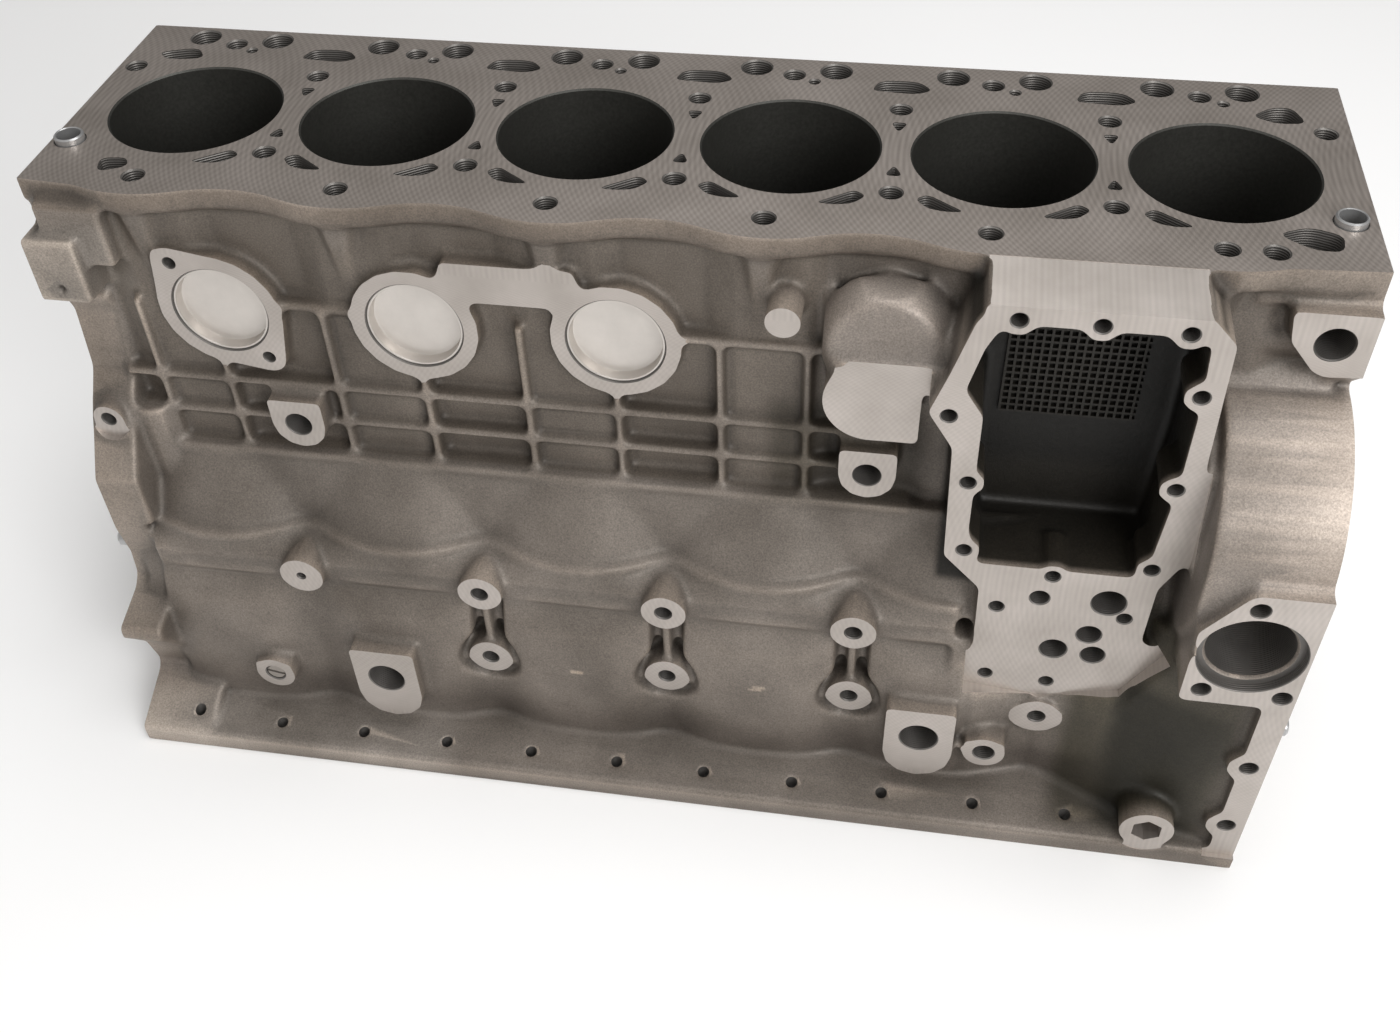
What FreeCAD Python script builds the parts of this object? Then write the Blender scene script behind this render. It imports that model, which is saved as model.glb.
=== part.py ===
import FreeCAD, Part
import math
import os

# Cylinder block of a straight-six diesel engine, millimetres.
# X runs along the crankshaft with the front at +X, Y runs across with the oil-cooler
# side at -Y and the camshaft side at +Y, and Z is up. The origin is on the crankshaft
# axis at the centre main bearing.

# ---- main dimensions ----
CYLINDERS = 6
PITCH = 120.0                 # from one cylinder to the next
BORE_R = 51.0
BORE_FOOT_Z = 60.0            # where the bores open into the crankcase
REAR_END = 11.0               # flywheel-housing face past the last main bearing
FRONT_END = 14.0              # gear-housing face past the first main bearing
DECK_Z = 322.6                # head gasket face above the crankshaft axis
DECK_FAR_Y = 102.0
DECK_NEAR_Y = -88.0
DECK_THICK = 14.0
RAIL_Z = -77.4                # oil-pan rail face
RAIL_NEAR_Y = -180.0
RAIL_FAR_Y = 160.0
RAIL_THICK = 14.0
RAIL_ROOT = 7.0               # how much thicker the rail is at the wall
WALL = 8.0                    # cast wall of the crankcase
CORE_Y = 20.0                 # the two sides' profiles overlap this far past the middle
FLANGE_THICK = 28.0           # flywheel-housing flange
FRONT_FLANGE_THICK = 16.0

# ---- crankshaft tunnel and main bearing caps ----
MAIN_R = 44.0
WEB_THICK = 26.0
CAP_HALF_WIDTH = 76.0
CAP_PAD_DEPTH = 42.0          # where the bolt heads bear, below the axis
CAP_DEPTH = 58.0
CAP_PAD_WIDTH = 30.0
CAP_SLOPE = 12.0
CAP_BOLT_Y = 59.0
CAP_BOLT_R = 6.0
CAP_BOLT_DEPTH = 48.0         # thread length in the block
CAP_BOLT_SPARE = 3.0          # hole left below the bolt's end
CAP_HEAD_ACROSS = 18.0
CAP_HEAD_THICK = 10.0
BAY_R = 96.0                  # room for the crankshaft to swing
BAY_FOOT_NEAR_Y = -122.0      # the bay's inner walls at the pan rail
BAY_FOOT_FAR_Y = 112.0

# ---- camshaft side ----
CAM_Y = 92.0
CAM_Z = 130.0
CAM_BUSH_R = 28.6             # outside of the bush
CAM_BUSH_LENGTH = 24.0
CAM_JOURNAL_R = 27.0
CAM_PLUG_R = 30.0             # cup plug behind the rear journal
CAM_PLUG_DEPTH = 9.0
CAM_PLUG_ROOM = 14.0          # counterbore that takes the plug
CAM_CHEST_Y = 126.0
CAM_ROOM_TOP = 168.0
CAM_ROOM_FLOOR = 40.0
PUSHROD_R = 9.3
PUSHROD_Y = 89.0
PUSHROD_DX = (-31.0, 18.0)    # from each cylinder's axis

# ---- fits and roundness ----
ROUND_SIDES = 20              # facets of a repeated large round
CAP_SIDES = 24                # facets round a bearing cap's bore
SLIDE_FIT = 0.25              # round a bolt
PRESS_FIT = 0.05              # round a pressed plug, bush or dowel

# ---- deck ----
HEAD_BOLT_R = 6.2
HEAD_BOLT_DEPTH = 55.0
DOWEL_RING_R = 8.6
DOWEL_RING_WALL = 1.6
DOWEL_RING_DEPTH = 8.0
DOWEL_RING_HEIGHT = 4.0       # how far a ring stands above the deck
EDGE_SWELL = 11.5             # how far the deck edge swells at each near bolt
NEAR_BOLT_DX = -5.6           # near bolt row, from each cylinder's axis
NEAR_BOLT_Y = -77.0
FAR_BOLT_DX = -7.0
FAR_BOLT_Y = 82.0
INNER_BOLT_FAR_Y = 47.0       # rows between the cylinders
INNER_BOLT_NEAR_Y = -44.0
OIL_DRILLING_R = 3.0
PASSAGE_DEPTH = 30.0
SLOT_DEPTH = 60.0

# ---- core plugs ----
PLUG_FACE_Y = -91.3
PLUG_DROP = 81.0              # plug centres below the deck
PLUGS = 3
PLUG_DX = 31.0                # ahead of the axis of each of the rear cylinders
PLUG_R = 29.0
PLUG_LAND_R = 38.3
PLUG_ROOM_Y = -58.0           # how far the core hole goes in
PLUG_LIP = 1.2                # rim below the land
PLUG_DEPTH = 9.0              # depth of the pressed cup
PLUG_SHEET = 1.6
EAR_DX = 23.1                 # bolt ears of the first land
EAR_DZ = -32.2
EAR_R = 10.5
BRIDGE_TOP_DZ = 46.4          # bridge between the other two lands, above their centres
BRIDGE_LOW_DZ = 20.4

# ---- oil cooler opening ----
COOLER_FACE_Y = -134.0
COOLER_FLOOR_Y = -78.0
COOLER_BOLT_R = 4.2
COOLER_LOBE_R = 9.0
COOLER_LOBE_DEPTH = 30.0
COOLER_RAMP_DROP = 4.3        # the bright slope above the opening falls this far
COOLER_BOLT_DEPTH = 22.0

# ---- water pump room and its inlet, at the front ----
PUMP_Y = -86.0
PUMP_Z = 162.6
PUMP_SHELL_R = 82.0
PUMP_SHELL_LENGTH = 66.0
PUMP_ROOM_R = 58.0
PUMP_ROOM_DEPTH = 14.0        # shallow, clear of the front cylinder
SIDE_FACE_Y = -177.0
INLET_BACK = 32.0             # inlet axis behind the front face
INLET_Z = 124.0
INLET_R = 24.5
INLET_SEAT_R = 29.5
INLET_SEAT_DEPTH = 6.0
INLET_END_Y = -100.0          # where the machined inlet ends in the cast throat
THROAT_R = 26.5
THROAT_Y = -82.0
SIDE_BOLT_BACK = 11.0
SIDE_BOLT_Z = (24.6, -35.4)
SIDE_LOBE_R = 12.5
FOOT_BOSS_BACK = 58.0
FOOT_BOSS_Z = -47.0
FOOT_BOSS_R = 17.0

# ---- oil gallery ----
GALLERY_Y = -82.0
GALLERY_Z = 104.0
GALLERY_R = 7.5
GALLERY_PLUG_LENGTH = 12.0
GALLERY_SOCKET_ACROSS = 8.0
GALLERY_PORT_Y = -102.0
GALLERY_PORT_Z = 166.0
GALLERY_PORT_R = 8.0

# ---- water jacket wall ----
WALL_Y = -80.0                # between cylinders
WALL_SWELL_Y = -88.0          # where a cylinder swells it
RIB_Y = -92.0
RIB_THICK = 4.5
RIB_TOP_DROP = 76.6
RIB_ROWS_Z = (188.6, 161.6)
RIB_DX = (-82, -37, 34, 90, 153, 209, 271, 322)    # upright ribs, from the second main bearing

# ---- shoulder, ledge and skirt ----
SHOULDER_Z = 135.6            # where the crankcase starts to widen
SHOULDER_Y = -95.0
SHOULDER_BAY_Y = -127.0       # its foot in the middle of a bay
SHOULDER_WEB_Y = -104.0       # and at a main bearing
SHOULDER_R = 99.0
LEDGE_Z = 84.6
LEDGE_EDGE_Y = -130.0
LEDGE_EDGE_Z = 70.6
LEDGE_FACE = 14.0
SKIRT_Y = -134.0              # at a main bearing, crankshaft height
SKIRT_BOW = 11.0              # how much further out it is in the middle of a bay

# ---- bosses on the skirt ----
BOSS_FACE_Y = -139.0
BOSS_R = 14.0
BOSS_SIDES = 10
UPPER_BOSS_Z = 66.6
LOWER_BOSS_Z = 5.0
BOSS_WEB = 6.0
BOSS_HOLE_DEPTH = 25.0
M12_R = 5.1
M8_R = 3.4
PILOT_R = 2.5
SUMP_PORT_Y = -158.0
SUMP_PORT_Z = -6.4
SUMP_PORT_R = 12.0
SUMP_PORT_HALF = 22.0
SMALL_PORT_Y = -155.0
SMALL_PORT_Z = -18.0
SMALL_PORT_R = 6.5
SMALL_PORT_HALF = 12.5
DRAIN_PLUG_LENGTH = 12.0
DRAIN_SLOT = 2.0

# ---- pan rail and end faces ----
RAIL_HOLE_R = 3.8
RAIL_HOLE_STEP = 60.0
RAIL_HOLE_INSET = 15.5        # from the rail's edge
RAIL_HOLE_FIRST = 38.0        # from the rear face
END_DOWEL_R = 6.0
END_DOWEL_SEAT = 14.0
END_DOWEL_PROUD = 10.0
END_HOLE_DEPTH = 18.0

CYLINDER_X = [PITCH * (i - (CYLINDERS - 1) / 2) for i in range(CYLINDERS)]
MAIN_X = [PITCH * (i - CYLINDERS / 2) for i in range(CYLINDERS + 1)]
REAR_X = MAIN_X[0] - REAR_END
FRONT_X = MAIN_X[-1] + FRONT_END
COOLER_X = MAIN_X[-2]
PLUG_X = [x + PLUG_DX for x in CYLINDER_X[:PLUGS]]
PLUG_Z = DECK_Z - PLUG_DROP
PLUG_EARS = [(PLUG_X[0] + side * EAR_DX, PLUG_Z + side * EAR_DZ) for side in (-1, 1)]
SUMP_PORT_X = (MAIN_X[1] + 51, MAIN_X[4] + 47)
DRAIN_PLUG_X = MAIN_X[1] - 31.5
SENSOR_X = MAIN_X[4] + 89.5
GALLERY_PORT_X = (MAIN_X[1] + 7, MAIN_X[4])
UPPER_BOSS_X = MAIN_X[1:5]
LOWER_BOSS_X = MAIN_X[2:6]
INLET_X = FRONT_X - INLET_BACK
SIDE_BOLTS = [(FRONT_X - SIDE_BOLT_BACK, z) for z in SIDE_BOLT_Z]
INLET_BOLTS = [(INLET_X + dx, INLET_Z + dz) for dx, dz in ((-4, 37.6), (-21, -31.4), (24, -32.4))]
NEAR_BOLTS = [(x + NEAR_BOLT_DX, NEAR_BOLT_Y) for x in CYLINDER_X]
FAR_BOLTS = [(x + FAR_BOLT_DX, FAR_BOLT_Y) for x in CYLINDER_X]
INNER_BOLTS = [(x, y) for x in MAIN_X for y in (INNER_BOLT_FAR_Y, INNER_BOLT_NEAR_Y)]
DOWEL_RINGS = [(x, INNER_BOLT_NEAR_Y) for x in (MAIN_X[0], MAIN_X[-1])]

# Corners of the oil-cooler housing: from its middle and down from the deck for the
# opening, from its middle and up from the crankshaft for the filter pad.
COOLER_OUTLINE = ((-71, 184.6), (-74, 101.6), (-89, 77.6), (-80, 50.6), (-70, 16.6), (-62, 4),
                  (44, 4), (58, 18.6), (60, 92.6), (63, 174.6))
PAD_OUTLINE = ((53, 126), (52, 80), (64, 73), (44, 37), (-2, 25), (-45, 30), (-48, 113))
COOLER_ROOM = ((-56, 15.6), (46, 15.6), (49, 62.6), (49, 117.6), (44, 188.6), (-52, 188.6),
               (-59, 162.6), (-60, 77.6), (-71, 60.6), (-64, 32.6))
COOLER_BOLTS = ((-49, 13), (-8, 13), (35, 14), (48, 53), (48, 118), (47, 181), (-7, 194),
                (-60, 179), (-63, 126), (-78, 79))
PAD_BOLTS = ((-36, 98.6), (39, 98.6), (-36, 36.6), (2, 34.6), (40, 45.6))
OIL_PORTS = ((-12, 109.6, 5.6), (28, 110.6, 9.9), (21, 81.6, 7.2), (2, 65.6, 8.1), (26, 63.6, 7.1))

# End-face bolt holes and dowels, across and up from the crankshaft.
REAR_BOLTS = ((-108, 110), (-70, 292), (75, 292), (126, 110))
REAR_DOWELS = ((-112, 58), (118, 20))
FRONT_BOLTS = ((-70, 292), (75, 292), (132, 90), (-160, 0))
FRONT_DOWELS = ((-154, 40), (120, 0))

V = FreeCAD.Vector
X_AXIS = V(1, 0, 0)
Y_AXIS = V(0, 1, 0)
Z_AXIS = V(0, 0, 1)


# ---- shapes used throughout ----

def box(x0, x1, y0, y1, z0, z1):
    return Part.makeBox(x1 - x0, y1 - y0, z1 - z0, V(x0, y0, z0))


def bar_x(radius, x0, x1, y, z):
    return Part.makeCylinder(radius, x1 - x0, V(x0, y, z), X_AXIS)


def bar_y(radius, y0, y1, x, z):
    return Part.makeCylinder(radius, y1 - y0, V(x, y0, z), Y_AXIS)


def bar_z(radius, z0, z1, x, y):
    return Part.makeCylinder(radius, z1 - z0, V(x, y, z0), Z_AXIS)


def ring(radius, a, b, sides=6):
    """Corners of a circle of few sides and the same area, for holes and bars that repeat."""
    reach = radius / math.sqrt(math.cos(math.pi / sides))
    turns = [2 * math.pi * (i + 0.5) / sides for i in range(sides)]
    return [(a + reach * math.cos(t), b + reach * math.sin(t)) for t in turns]


def prism(points, travel):
    wire = Part.makePolygon(points + [points[0]])
    return Part.Face(wire).extrude(travel)


def slab_x(outline, x0, x1):
    """Extrudes an outline of (y, z) corners along X."""
    return prism([V(x0, y, z) for y, z in outline], V(x1 - x0, 0, 0))


def slab_y(outline, y0, y1):
    """Extrudes an outline of (x, z) corners along Y."""
    return prism([V(x, y0, z) for x, z in outline], V(0, y1 - y0, 0))


def slab_z(outline, z0, z1):
    """Extrudes an outline of (x, y) corners along Z."""
    return prism([V(x, y, z0) for x, y in outline], V(0, 0, z1 - z0))


def facet(points):
    return Part.Face(Part.makePolygon(points + [points[0]]))


def skin(sections):
    """A solid that passes through sections of equally many corners, in flat facets."""
    faces = [facet(sections[0]), facet(sections[-1])]
    for low, high in zip(sections, sections[1:]):
        for i in range(len(low)):
            faces.append(facet([low[i - 1], low[i], high[i]]))
            faces.append(facet([low[i - 1], high[i], high[i - 1]]))
    solid = Part.Solid(Part.Shell(faces))
    if solid.Volume < 0:
        solid.reverse()
    return solid


def arc(a, b, c):
    return Part.Arc(a, b, c).toShape()


def line(a, b):
    return Part.makeLine(a, b)


def fused(solids):
    return solids[0].fuse(solids[1:]) if len(solids) > 1 else solids[0]


# ---- casting: outside ----

def deck_slab():
    """The head face: its near edge swells in an arc round each bolt of the near row."""
    valley = DECK_NEAR_Y + EDGE_SWELL * 0.25
    swell = valley - EDGE_SWELL
    middle = (valley + swell) / 2
    start, end = V(REAR_X, DECK_NEAR_Y, 0), V(FRONT_X, DECK_NEAR_Y, 0)
    far_end, far_start = V(FRONT_X, DECK_FAR_Y, 0), V(REAR_X, DECK_FAR_Y, 0)
    edges, last = [], start
    for bolt, y in NEAR_BOLTS:
        left, right = V(bolt - PITCH / 4, middle, 0), V(bolt + PITCH / 4, middle, 0)
        if last is start:
            edges.append(line(start, left))
        else:
            edges.append(arc(last, V(bolt - PITCH / 2, valley, 0), left))
        edges.append(arc(left, V(bolt, swell, 0), right))
        last = right
    edges += [line(last, end), line(end, far_end), line(far_end, far_start), line(far_start, start)]
    face = Part.Face(Part.Wire(edges))
    face.translate(V(0, 0, DECK_Z - DECK_THICK))
    return face.extrude(V(0, 0, DECK_THICK))


def jacket_wall():
    """The upper body: a straight wall that each cylinder swells, with bolt columns."""
    top = DECK_Z - DECK_THICK / 2
    solids = [box(REAR_X, FRONT_X, WALL_Y, DECK_FAR_Y, LEDGE_Z, top)]
    for x in CYLINDER_X:
        turns = [math.radians(a) for a in (-26, -13, 13, 26)]
        swell = [(x + WALL_SWELL_Y * math.sin(t), WALL_SWELL_Y * math.cos(t)) for t in turns]
        solids.append(slab_z(swell + [(x, WALL_Y + 20)], SHOULDER_Z - 4, top))
    for x, y in NEAR_BOLTS:
        low, high = ring(5, x, NEAR_BOLT_Y - 2, 8), ring(16, x, NEAR_BOLT_Y - 2, 8)
        solids.append(skin([[V(a, b, top - 72) for a, b in low], [V(a, b, top) for a, b in high]]))
    return solids


def shoulder(x):
    """One bay's widening: a slanted barrel that grows out of the wall down to the ledge."""
    drop, spread = SHOULDER_Z - LEDGE_Z + 8, SHOULDER_BAY_Y - SHOULDER_Y
    slope = math.hypot(drop, spread)
    inward = V(0, drop / slope, spread / slope)
    crest = V(x, SHOULDER_Y, SHOULDER_Z)
    fall = V(0, spread / slope, -drop / slope)
    barrel = Part.makeCylinder(SHOULDER_R, slope + 80, crest + inward * SHOULDER_R - fall * 40, fall)
    half = PITCH / 2
    return barrel.common(box(x - half, x + half, SHOULDER_BAY_Y - 13, -60, LEDGE_Z - 8, SHOULDER_Z))


def shoulder_wall():
    """The plain slope that the barrels grow from."""
    low = LEDGE_Z - LEDGE_FACE - 26
    outline = [(CORE_Y, SHOULDER_Z), (SHOULDER_Y, SHOULDER_Z), (SHOULDER_WEB_Y, LEDGE_Z - 8)]
    outline += [(SHOULDER_WEB_Y - 14, low), (CORE_Y, low)]
    return slab_x(outline, REAR_X, FRONT_X)


def skirt(x):
    """One bay's lower wall, round like the crank room inside it and bowed out between the webs."""
    outline = [(CORE_Y, 62), (SKIRT_Y + 15, 62), (SKIRT_Y + 1, 18), (SKIRT_Y, -26), (SKIRT_Y + 3, RAIL_Z + 8)]
    outline.append((CORE_Y, RAIL_Z + 8))
    solids = []
    steps = 3
    width = PITCH / steps
    for i in range(steps):
        x0 = x - PITCH / 2 + i * width
        bow = [SKIRT_BOW * (k % steps > 0) for k in (i, i + 1)]
        face = [V(x0, y - bow[0], z) for y, z in outline]
        solids.append(prism(face, V(width, bow[0] - bow[1], 0)))
    return fused(solids)


def ledge():
    """The belt along the crankcase that carries the upper row of bosses."""
    foot = LEDGE_EDGE_Z - LEDGE_FACE
    outline = [(LEDGE_EDGE_Y + 30, LEDGE_Z), (LEDGE_EDGE_Y, LEDGE_EDGE_Z), (LEDGE_EDGE_Y, foot)]
    outline += [(LEDGE_EDGE_Y + 18, foot - 4), (LEDGE_EDGE_Y + 30, foot - 4)]
    return slab_x(outline, REAR_X + FLANGE_THICK - 2, COOLER_X - 58)


def pan_rail():
    """The flange that the block stands on, thicker towards the wall."""
    top, root = RAIL_Z + RAIL_THICK, RAIL_Z + RAIL_THICK + RAIL_ROOT
    near = [(RAIL_NEAR_Y, RAIL_Z), (RAIL_NEAR_Y, top), (SKIRT_Y - 2, root), (CORE_Y, root), (CORE_Y, RAIL_Z)]
    far = [(-CORE_Y, RAIL_Z), (-CORE_Y, root), (CAM_CHEST_Y - 2, root), (RAIL_FAR_Y, top), (RAIL_FAR_Y, RAIL_Z)]
    return [slab_x(near, REAR_X, FRONT_X), slab_x(far, REAR_X, FRONT_X)]


def far_wall():
    """The camshaft side: chest, skirt and the upright ribs at the main bearings."""
    top = CAM_ROOM_TOP + 14
    outline = [(-CORE_Y, top + 33), (DECK_FAR_Y, top + 33), (CAM_CHEST_Y, top)]
    foot = BAY_FOOT_FAR_Y + WALL
    outline += [(CAM_CHEST_Y, CAM_ROOM_FLOOR - WALL), (foot, 0), (foot, RAIL_Z), (-CORE_Y, RAIL_Z)]
    solids = [slab_x(outline, REAR_X, FRONT_X)]
    rib = [(80, DECK_Z - 25), (DECK_FAR_Y + 6, DECK_Z - 32), (CAM_CHEST_Y + 5, top + 8)]
    rib += [(CAM_CHEST_Y + 5, RAIL_Z + RAIL_THICK + 4), (80, RAIL_Z + RAIL_THICK + 4)]
    for x in MAIN_X[1:-1]:
        solids.append(slab_x(rib, x - 4, x + 4))
    return solids


def rear_flange():
    """The flywheel-housing flange, with the lug and the thick end of the pan rail."""
    outline = [(-86, DECK_Z - 2), (-80, 245), (-88, 243), (-82, 228), (-86, 186), (-99, 168)]
    outline += [(-126, 124), (-126, 80), (-121, 54), (-123, 35), (-130, 28), (-161, 19)]
    outline += [(-162, 11), (-143, -14), (-136, -40), (-142, -49), (-176, -63), (RAIL_NEAR_Y, RAIL_Z)]
    near = slab_x(outline + [(CORE_Y, RAIL_Z), (CORE_Y, DECK_Z - 2)], REAR_X, REAR_X + FLANGE_THICK)
    foot = [(-120, RAIL_Z), (-120, -36), (-142, -47), (-176, -62), (RAIL_NEAR_Y, RAIL_Z)]
    far = [(-CORE_Y, DECK_Z - 2), (DECK_FAR_Y, DECK_Z - 2), (112, 220), (140, 190), (146, 60), (136, -30)]
    far += [(RAIL_FAR_Y, -60), (RAIL_FAR_Y, RAIL_Z), (-CORE_Y, RAIL_Z)]
    column = slab_z(ring(14, REAR_X + 36, -88, 10), 115, 165)
    return [near, slab_x(foot, REAR_X, REAR_X + 50), slab_x(far, REAR_X, REAR_X + 22), column]


def front_flange():
    """The gear-housing flange: a strip down the side face with a lobe at each bolt."""
    x0 = FRONT_X - FRONT_FLANGE_THICK
    near = [(-88, DECK_Z - 2), (-88, DECK_Z - 24), (-98.5, DECK_Z - 24), (-98.5, DECK_Z - 59)]
    near += [(-80, DECK_Z - 77), (-86, PUMP_Z + 8), (SIDE_FACE_Y, PUMP_Z + 9)]
    near += [(SIDE_FACE_Y, RAIL_Z), (CORE_Y, RAIL_Z), (CORE_Y, DECK_Z - 2)]
    far = [(-CORE_Y, DECK_Z - 2), (DECK_FAR_Y, DECK_Z - 2), (118, 220), (150, 190), (150, 60)]
    far += [(132, -30), (RAIL_FAR_Y, -60), (RAIL_FAR_Y, RAIL_Z), (-CORE_Y, RAIL_Z)]
    solids = [slab_x(near, x0, FRONT_X), slab_x(far, x0 - 4, FRONT_X)]
    for x, z in SIDE_BOLTS:
        lobe = slab_y(ring(SIDE_LOBE_R, x, z, BOSS_SIDES), SIDE_FACE_Y, SIDE_FACE_Y + 57)
        solids.append(lobe.common(box(x0 - 30, FRONT_X, SIDE_FACE_Y, 0, RAIL_Z, DECK_Z)))
    solids.append(box(FRONT_X - 28, FRONT_X, SIDE_FACE_Y + 27, -100, -8, 2))
    return solids


def fairing():
    """The wall that spreads from the crankcase to the front flange."""
    back, low_back = FRONT_X - 78, FRONT_X - 126
    front = FRONT_X - FRONT_FLANGE_THICK
    top = [V(back, SKIRT_Y + 16, 90), V(back + 22, -150, 90), V(front, -166, 90), V(front, -100, 90)]
    low = [V(low_back, SKIRT_Y, -62), V(low_back + 52, -158, -62), V(front, -172, -62), V(front, -100, -62)]
    top.append(V(back, -100, 90))
    low.append(V(low_back, -100, -62))
    foot = ring(FOOT_BOSS_R, FRONT_X - FOOT_BOSS_BACK, FOOT_BOSS_Z, 16)
    return [skin([low, top]), slab_y(foot, SIDE_FACE_Y - 3, -130)]


def corner_block():
    """The stepped block at the front of the deck, with its port."""
    step = DECK_Z - 23.6
    corner = [(FRONT_X - 44, step + 3), (FRONT_X, step + 3), (FRONT_X, step - 35)]
    corner += [(FRONT_X - 20, step - 37), (FRONT_X - 26, step - 34), (FRONT_X - 41, step - 16)]
    return [box(FRONT_X - 60, FRONT_X, DECK_NEAR_Y, -60, step, DECK_Z - 2), slab_y(corner, -98.5, -60)]


def pump_shell():
    """The round water pump room, the block of its inlet flange and the cast-in pipes above."""
    back = FRONT_X - PUMP_SHELL_LENGTH
    shell = bar_x(PUMP_SHELL_R, back, FRONT_X, PUMP_Y, PUMP_Z)
    shell = shell.common(box(back, FRONT_X, SIDE_FACE_Y, 0, 60, 260))
    inlet = [(FRONT_X, INLET_Z + 48.6), (INLET_X - 7, INLET_Z + 48.6), (INLET_X - 11, INLET_Z + 46)]
    inlet += [(INLET_X - 32, INLET_Z + 16), (INLET_X - 32, INLET_Z - 40), (INLET_X - 29, INLET_Z - 42)]
    inlet += [(FRONT_X, INLET_Z - 42)]
    solids = [shell, slab_y(inlet, SIDE_FACE_Y, -60)]
    for radius, z in ((12, DECK_Z - 50.6), (14, DECK_Z - 78.6)):
        solids.append(slab_x(ring(radius, -74, z, 10), FRONT_X - 84, FRONT_X - 10))
    return solids


def plug_lands():
    """Raised lands round the three core holes, the last two joined by a bridge."""
    solids = []
    for x in PLUG_X:
        solids.append(slab_y(ring(PLUG_LAND_R, x, PLUG_Z, ROUND_SIDES), PLUG_FACE_Y, PLUG_ROOM_Y - 4))
    for x, z in PLUG_EARS:
        solids.append(ear(PLUG_X[0], PLUG_Z, x, z))
    left, right = PLUG_X[1] + 22, PLUG_X[2] - 22
    top, low = PLUG_Z + BRIDGE_TOP_DZ, PLUG_Z + BRIDGE_LOW_DZ
    bridge = [(left, top), (right, top), (right + 9, low), (right, low - 12), (right - 16, low)]
    bridge += [(left + 16, low), (left, low - 12), (left - 9, low)]
    return solids + [slab_y(bridge, PLUG_FACE_Y, -60)]


def ear(x0, z0, x1, z1):
    """A tapering ear from a round land to a bolt hole, tangent to both circles."""
    away = math.atan2(z1 - z0, x1 - x0)
    spread = math.acos((PLUG_LAND_R - EAR_R) / math.hypot(x1 - x0, z1 - z0))
    outline = []
    for a in (away + spread, away - spread):
        outline.append((x0 + PLUG_LAND_R * math.cos(a), z0 + PLUG_LAND_R * math.sin(a)))
    for part in (-1, -0.5, 0, 0.5, 1):
        a = away + part * spread
        outline.append((x1 + EAR_R * math.cos(a), z1 + EAR_R * math.sin(a)))
    return slab_y(outline, PLUG_FACE_Y, -60)


def ribs():
    """The grid of thin ribs on the water jacket wall."""
    half = RIB_THICK / 2
    top = DECK_Z - RIB_TOP_DROP
    root = WALL_Y + 2
    solids = []
    for x in [MAIN_X[1] + dx for dx in RIB_DX]:
        solids.append(box(x - half, x + half, RIB_Y, root, SHOULDER_Z - 2, top))
    for z in RIB_ROWS_Z:
        solids.append(box(REAR_X + FLANGE_THICK - 2, COOLER_X - 110, RIB_Y, root, z - half, z + half))
    solids.append(box(PLUG_X[0] + 36, PLUG_X[1] - 36, RIB_Y + 2, root, top - 2, top + 4))
    solids.append(box(PLUG_X[2] + 36, COOLER_X - 140, RIB_Y, root, top - 2, top + 3))
    lip = [(SHOULDER_Y - 2, SHOULDER_Z - 3), (SHOULDER_Y - 2, SHOULDER_Z + 1), (root, SHOULDER_Z + 4)]
    solids.append(slab_x(lip + [(root, SHOULDER_Z - 3)], REAR_X + FLANGE_THICK - 2, COOLER_X - 95))
    return solids


def ring_bosses():
    """Two rows of bracket bosses at the main bearings, with a web between."""
    solids = []
    for x in UPPER_BOSS_X:
        solids.append(slab_y(ring(BOSS_R, x, UPPER_BOSS_Z, BOSS_SIDES), BOSS_FACE_Y, BOSS_FACE_Y + 45))
    half = BOSS_WEB / 2
    for x in LOWER_BOSS_X:
        solids.append(slab_y(ring(BOSS_R, x, LOWER_BOSS_Z, BOSS_SIDES), BOSS_FACE_Y, BOSS_FACE_Y + 35))
        solids.append(box(x - half, x + half, BOSS_FACE_Y + 4, -100, LOWER_BOSS_Z, UPPER_BOSS_Z - 6))
    return solids


def tongue(x, z_top, z_low, half, face_y, back_y):
    """A boss with a flat top and a round bottom."""
    turns = [math.pi * (1 + i / 6) for i in range(7)]
    outline = [(x + half * math.cos(t), z_low + half + half * math.sin(t)) for t in turns]
    return slab_y(outline + [(x + half, z_top), (x - half, z_top)], face_y, back_y)


def skirt_bosses():
    """The bosses of the sump ports, the drain plug and the sensor."""
    top, low = SUMP_PORT_Z + 26, SUMP_PORT_Z - 39
    solids = [tongue(x, top, low, SUMP_PORT_HALF, SUMP_PORT_Y, -110) for x in SUMP_PORT_X]
    for x in (DRAIN_PLUG_X, SENSOR_X):
        top, low = SMALL_PORT_Z + 10, SMALL_PORT_Z - SMALL_PORT_HALF
        solids.append(tongue(x, top, low, SMALL_PORT_HALF, SMALL_PORT_Y, -110))
    return solids


def wall_bosses():
    """Ports, pads and bosses on the water jacket wall."""
    solids = []
    for x in GALLERY_PORT_X:
        solids.append(tongue(x, GALLERY_PORT_Z + 18, GALLERY_PORT_Z - 18, 17, GALLERY_PORT_Y, WALL_Y + 4))
    solids.append(slab_y(ring(10, MAIN_X[4] - 51, DECK_Z - 44, 12), -110, -60))
    solids.append(slab_y(ring(11, REAR_X + 11, RIB_ROWS_Z[1], 10), -100, -60))
    solids.append(box(REAR_X, REAR_X + 31, -106, -60, DECK_Z - 72.6, DECK_Z - 30.6))
    solids.append(box(REAR_X + 8, REAR_X + 48, -98, -60, DECK_Z - 50.6, DECK_Z - 10.6))
    return solids


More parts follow.
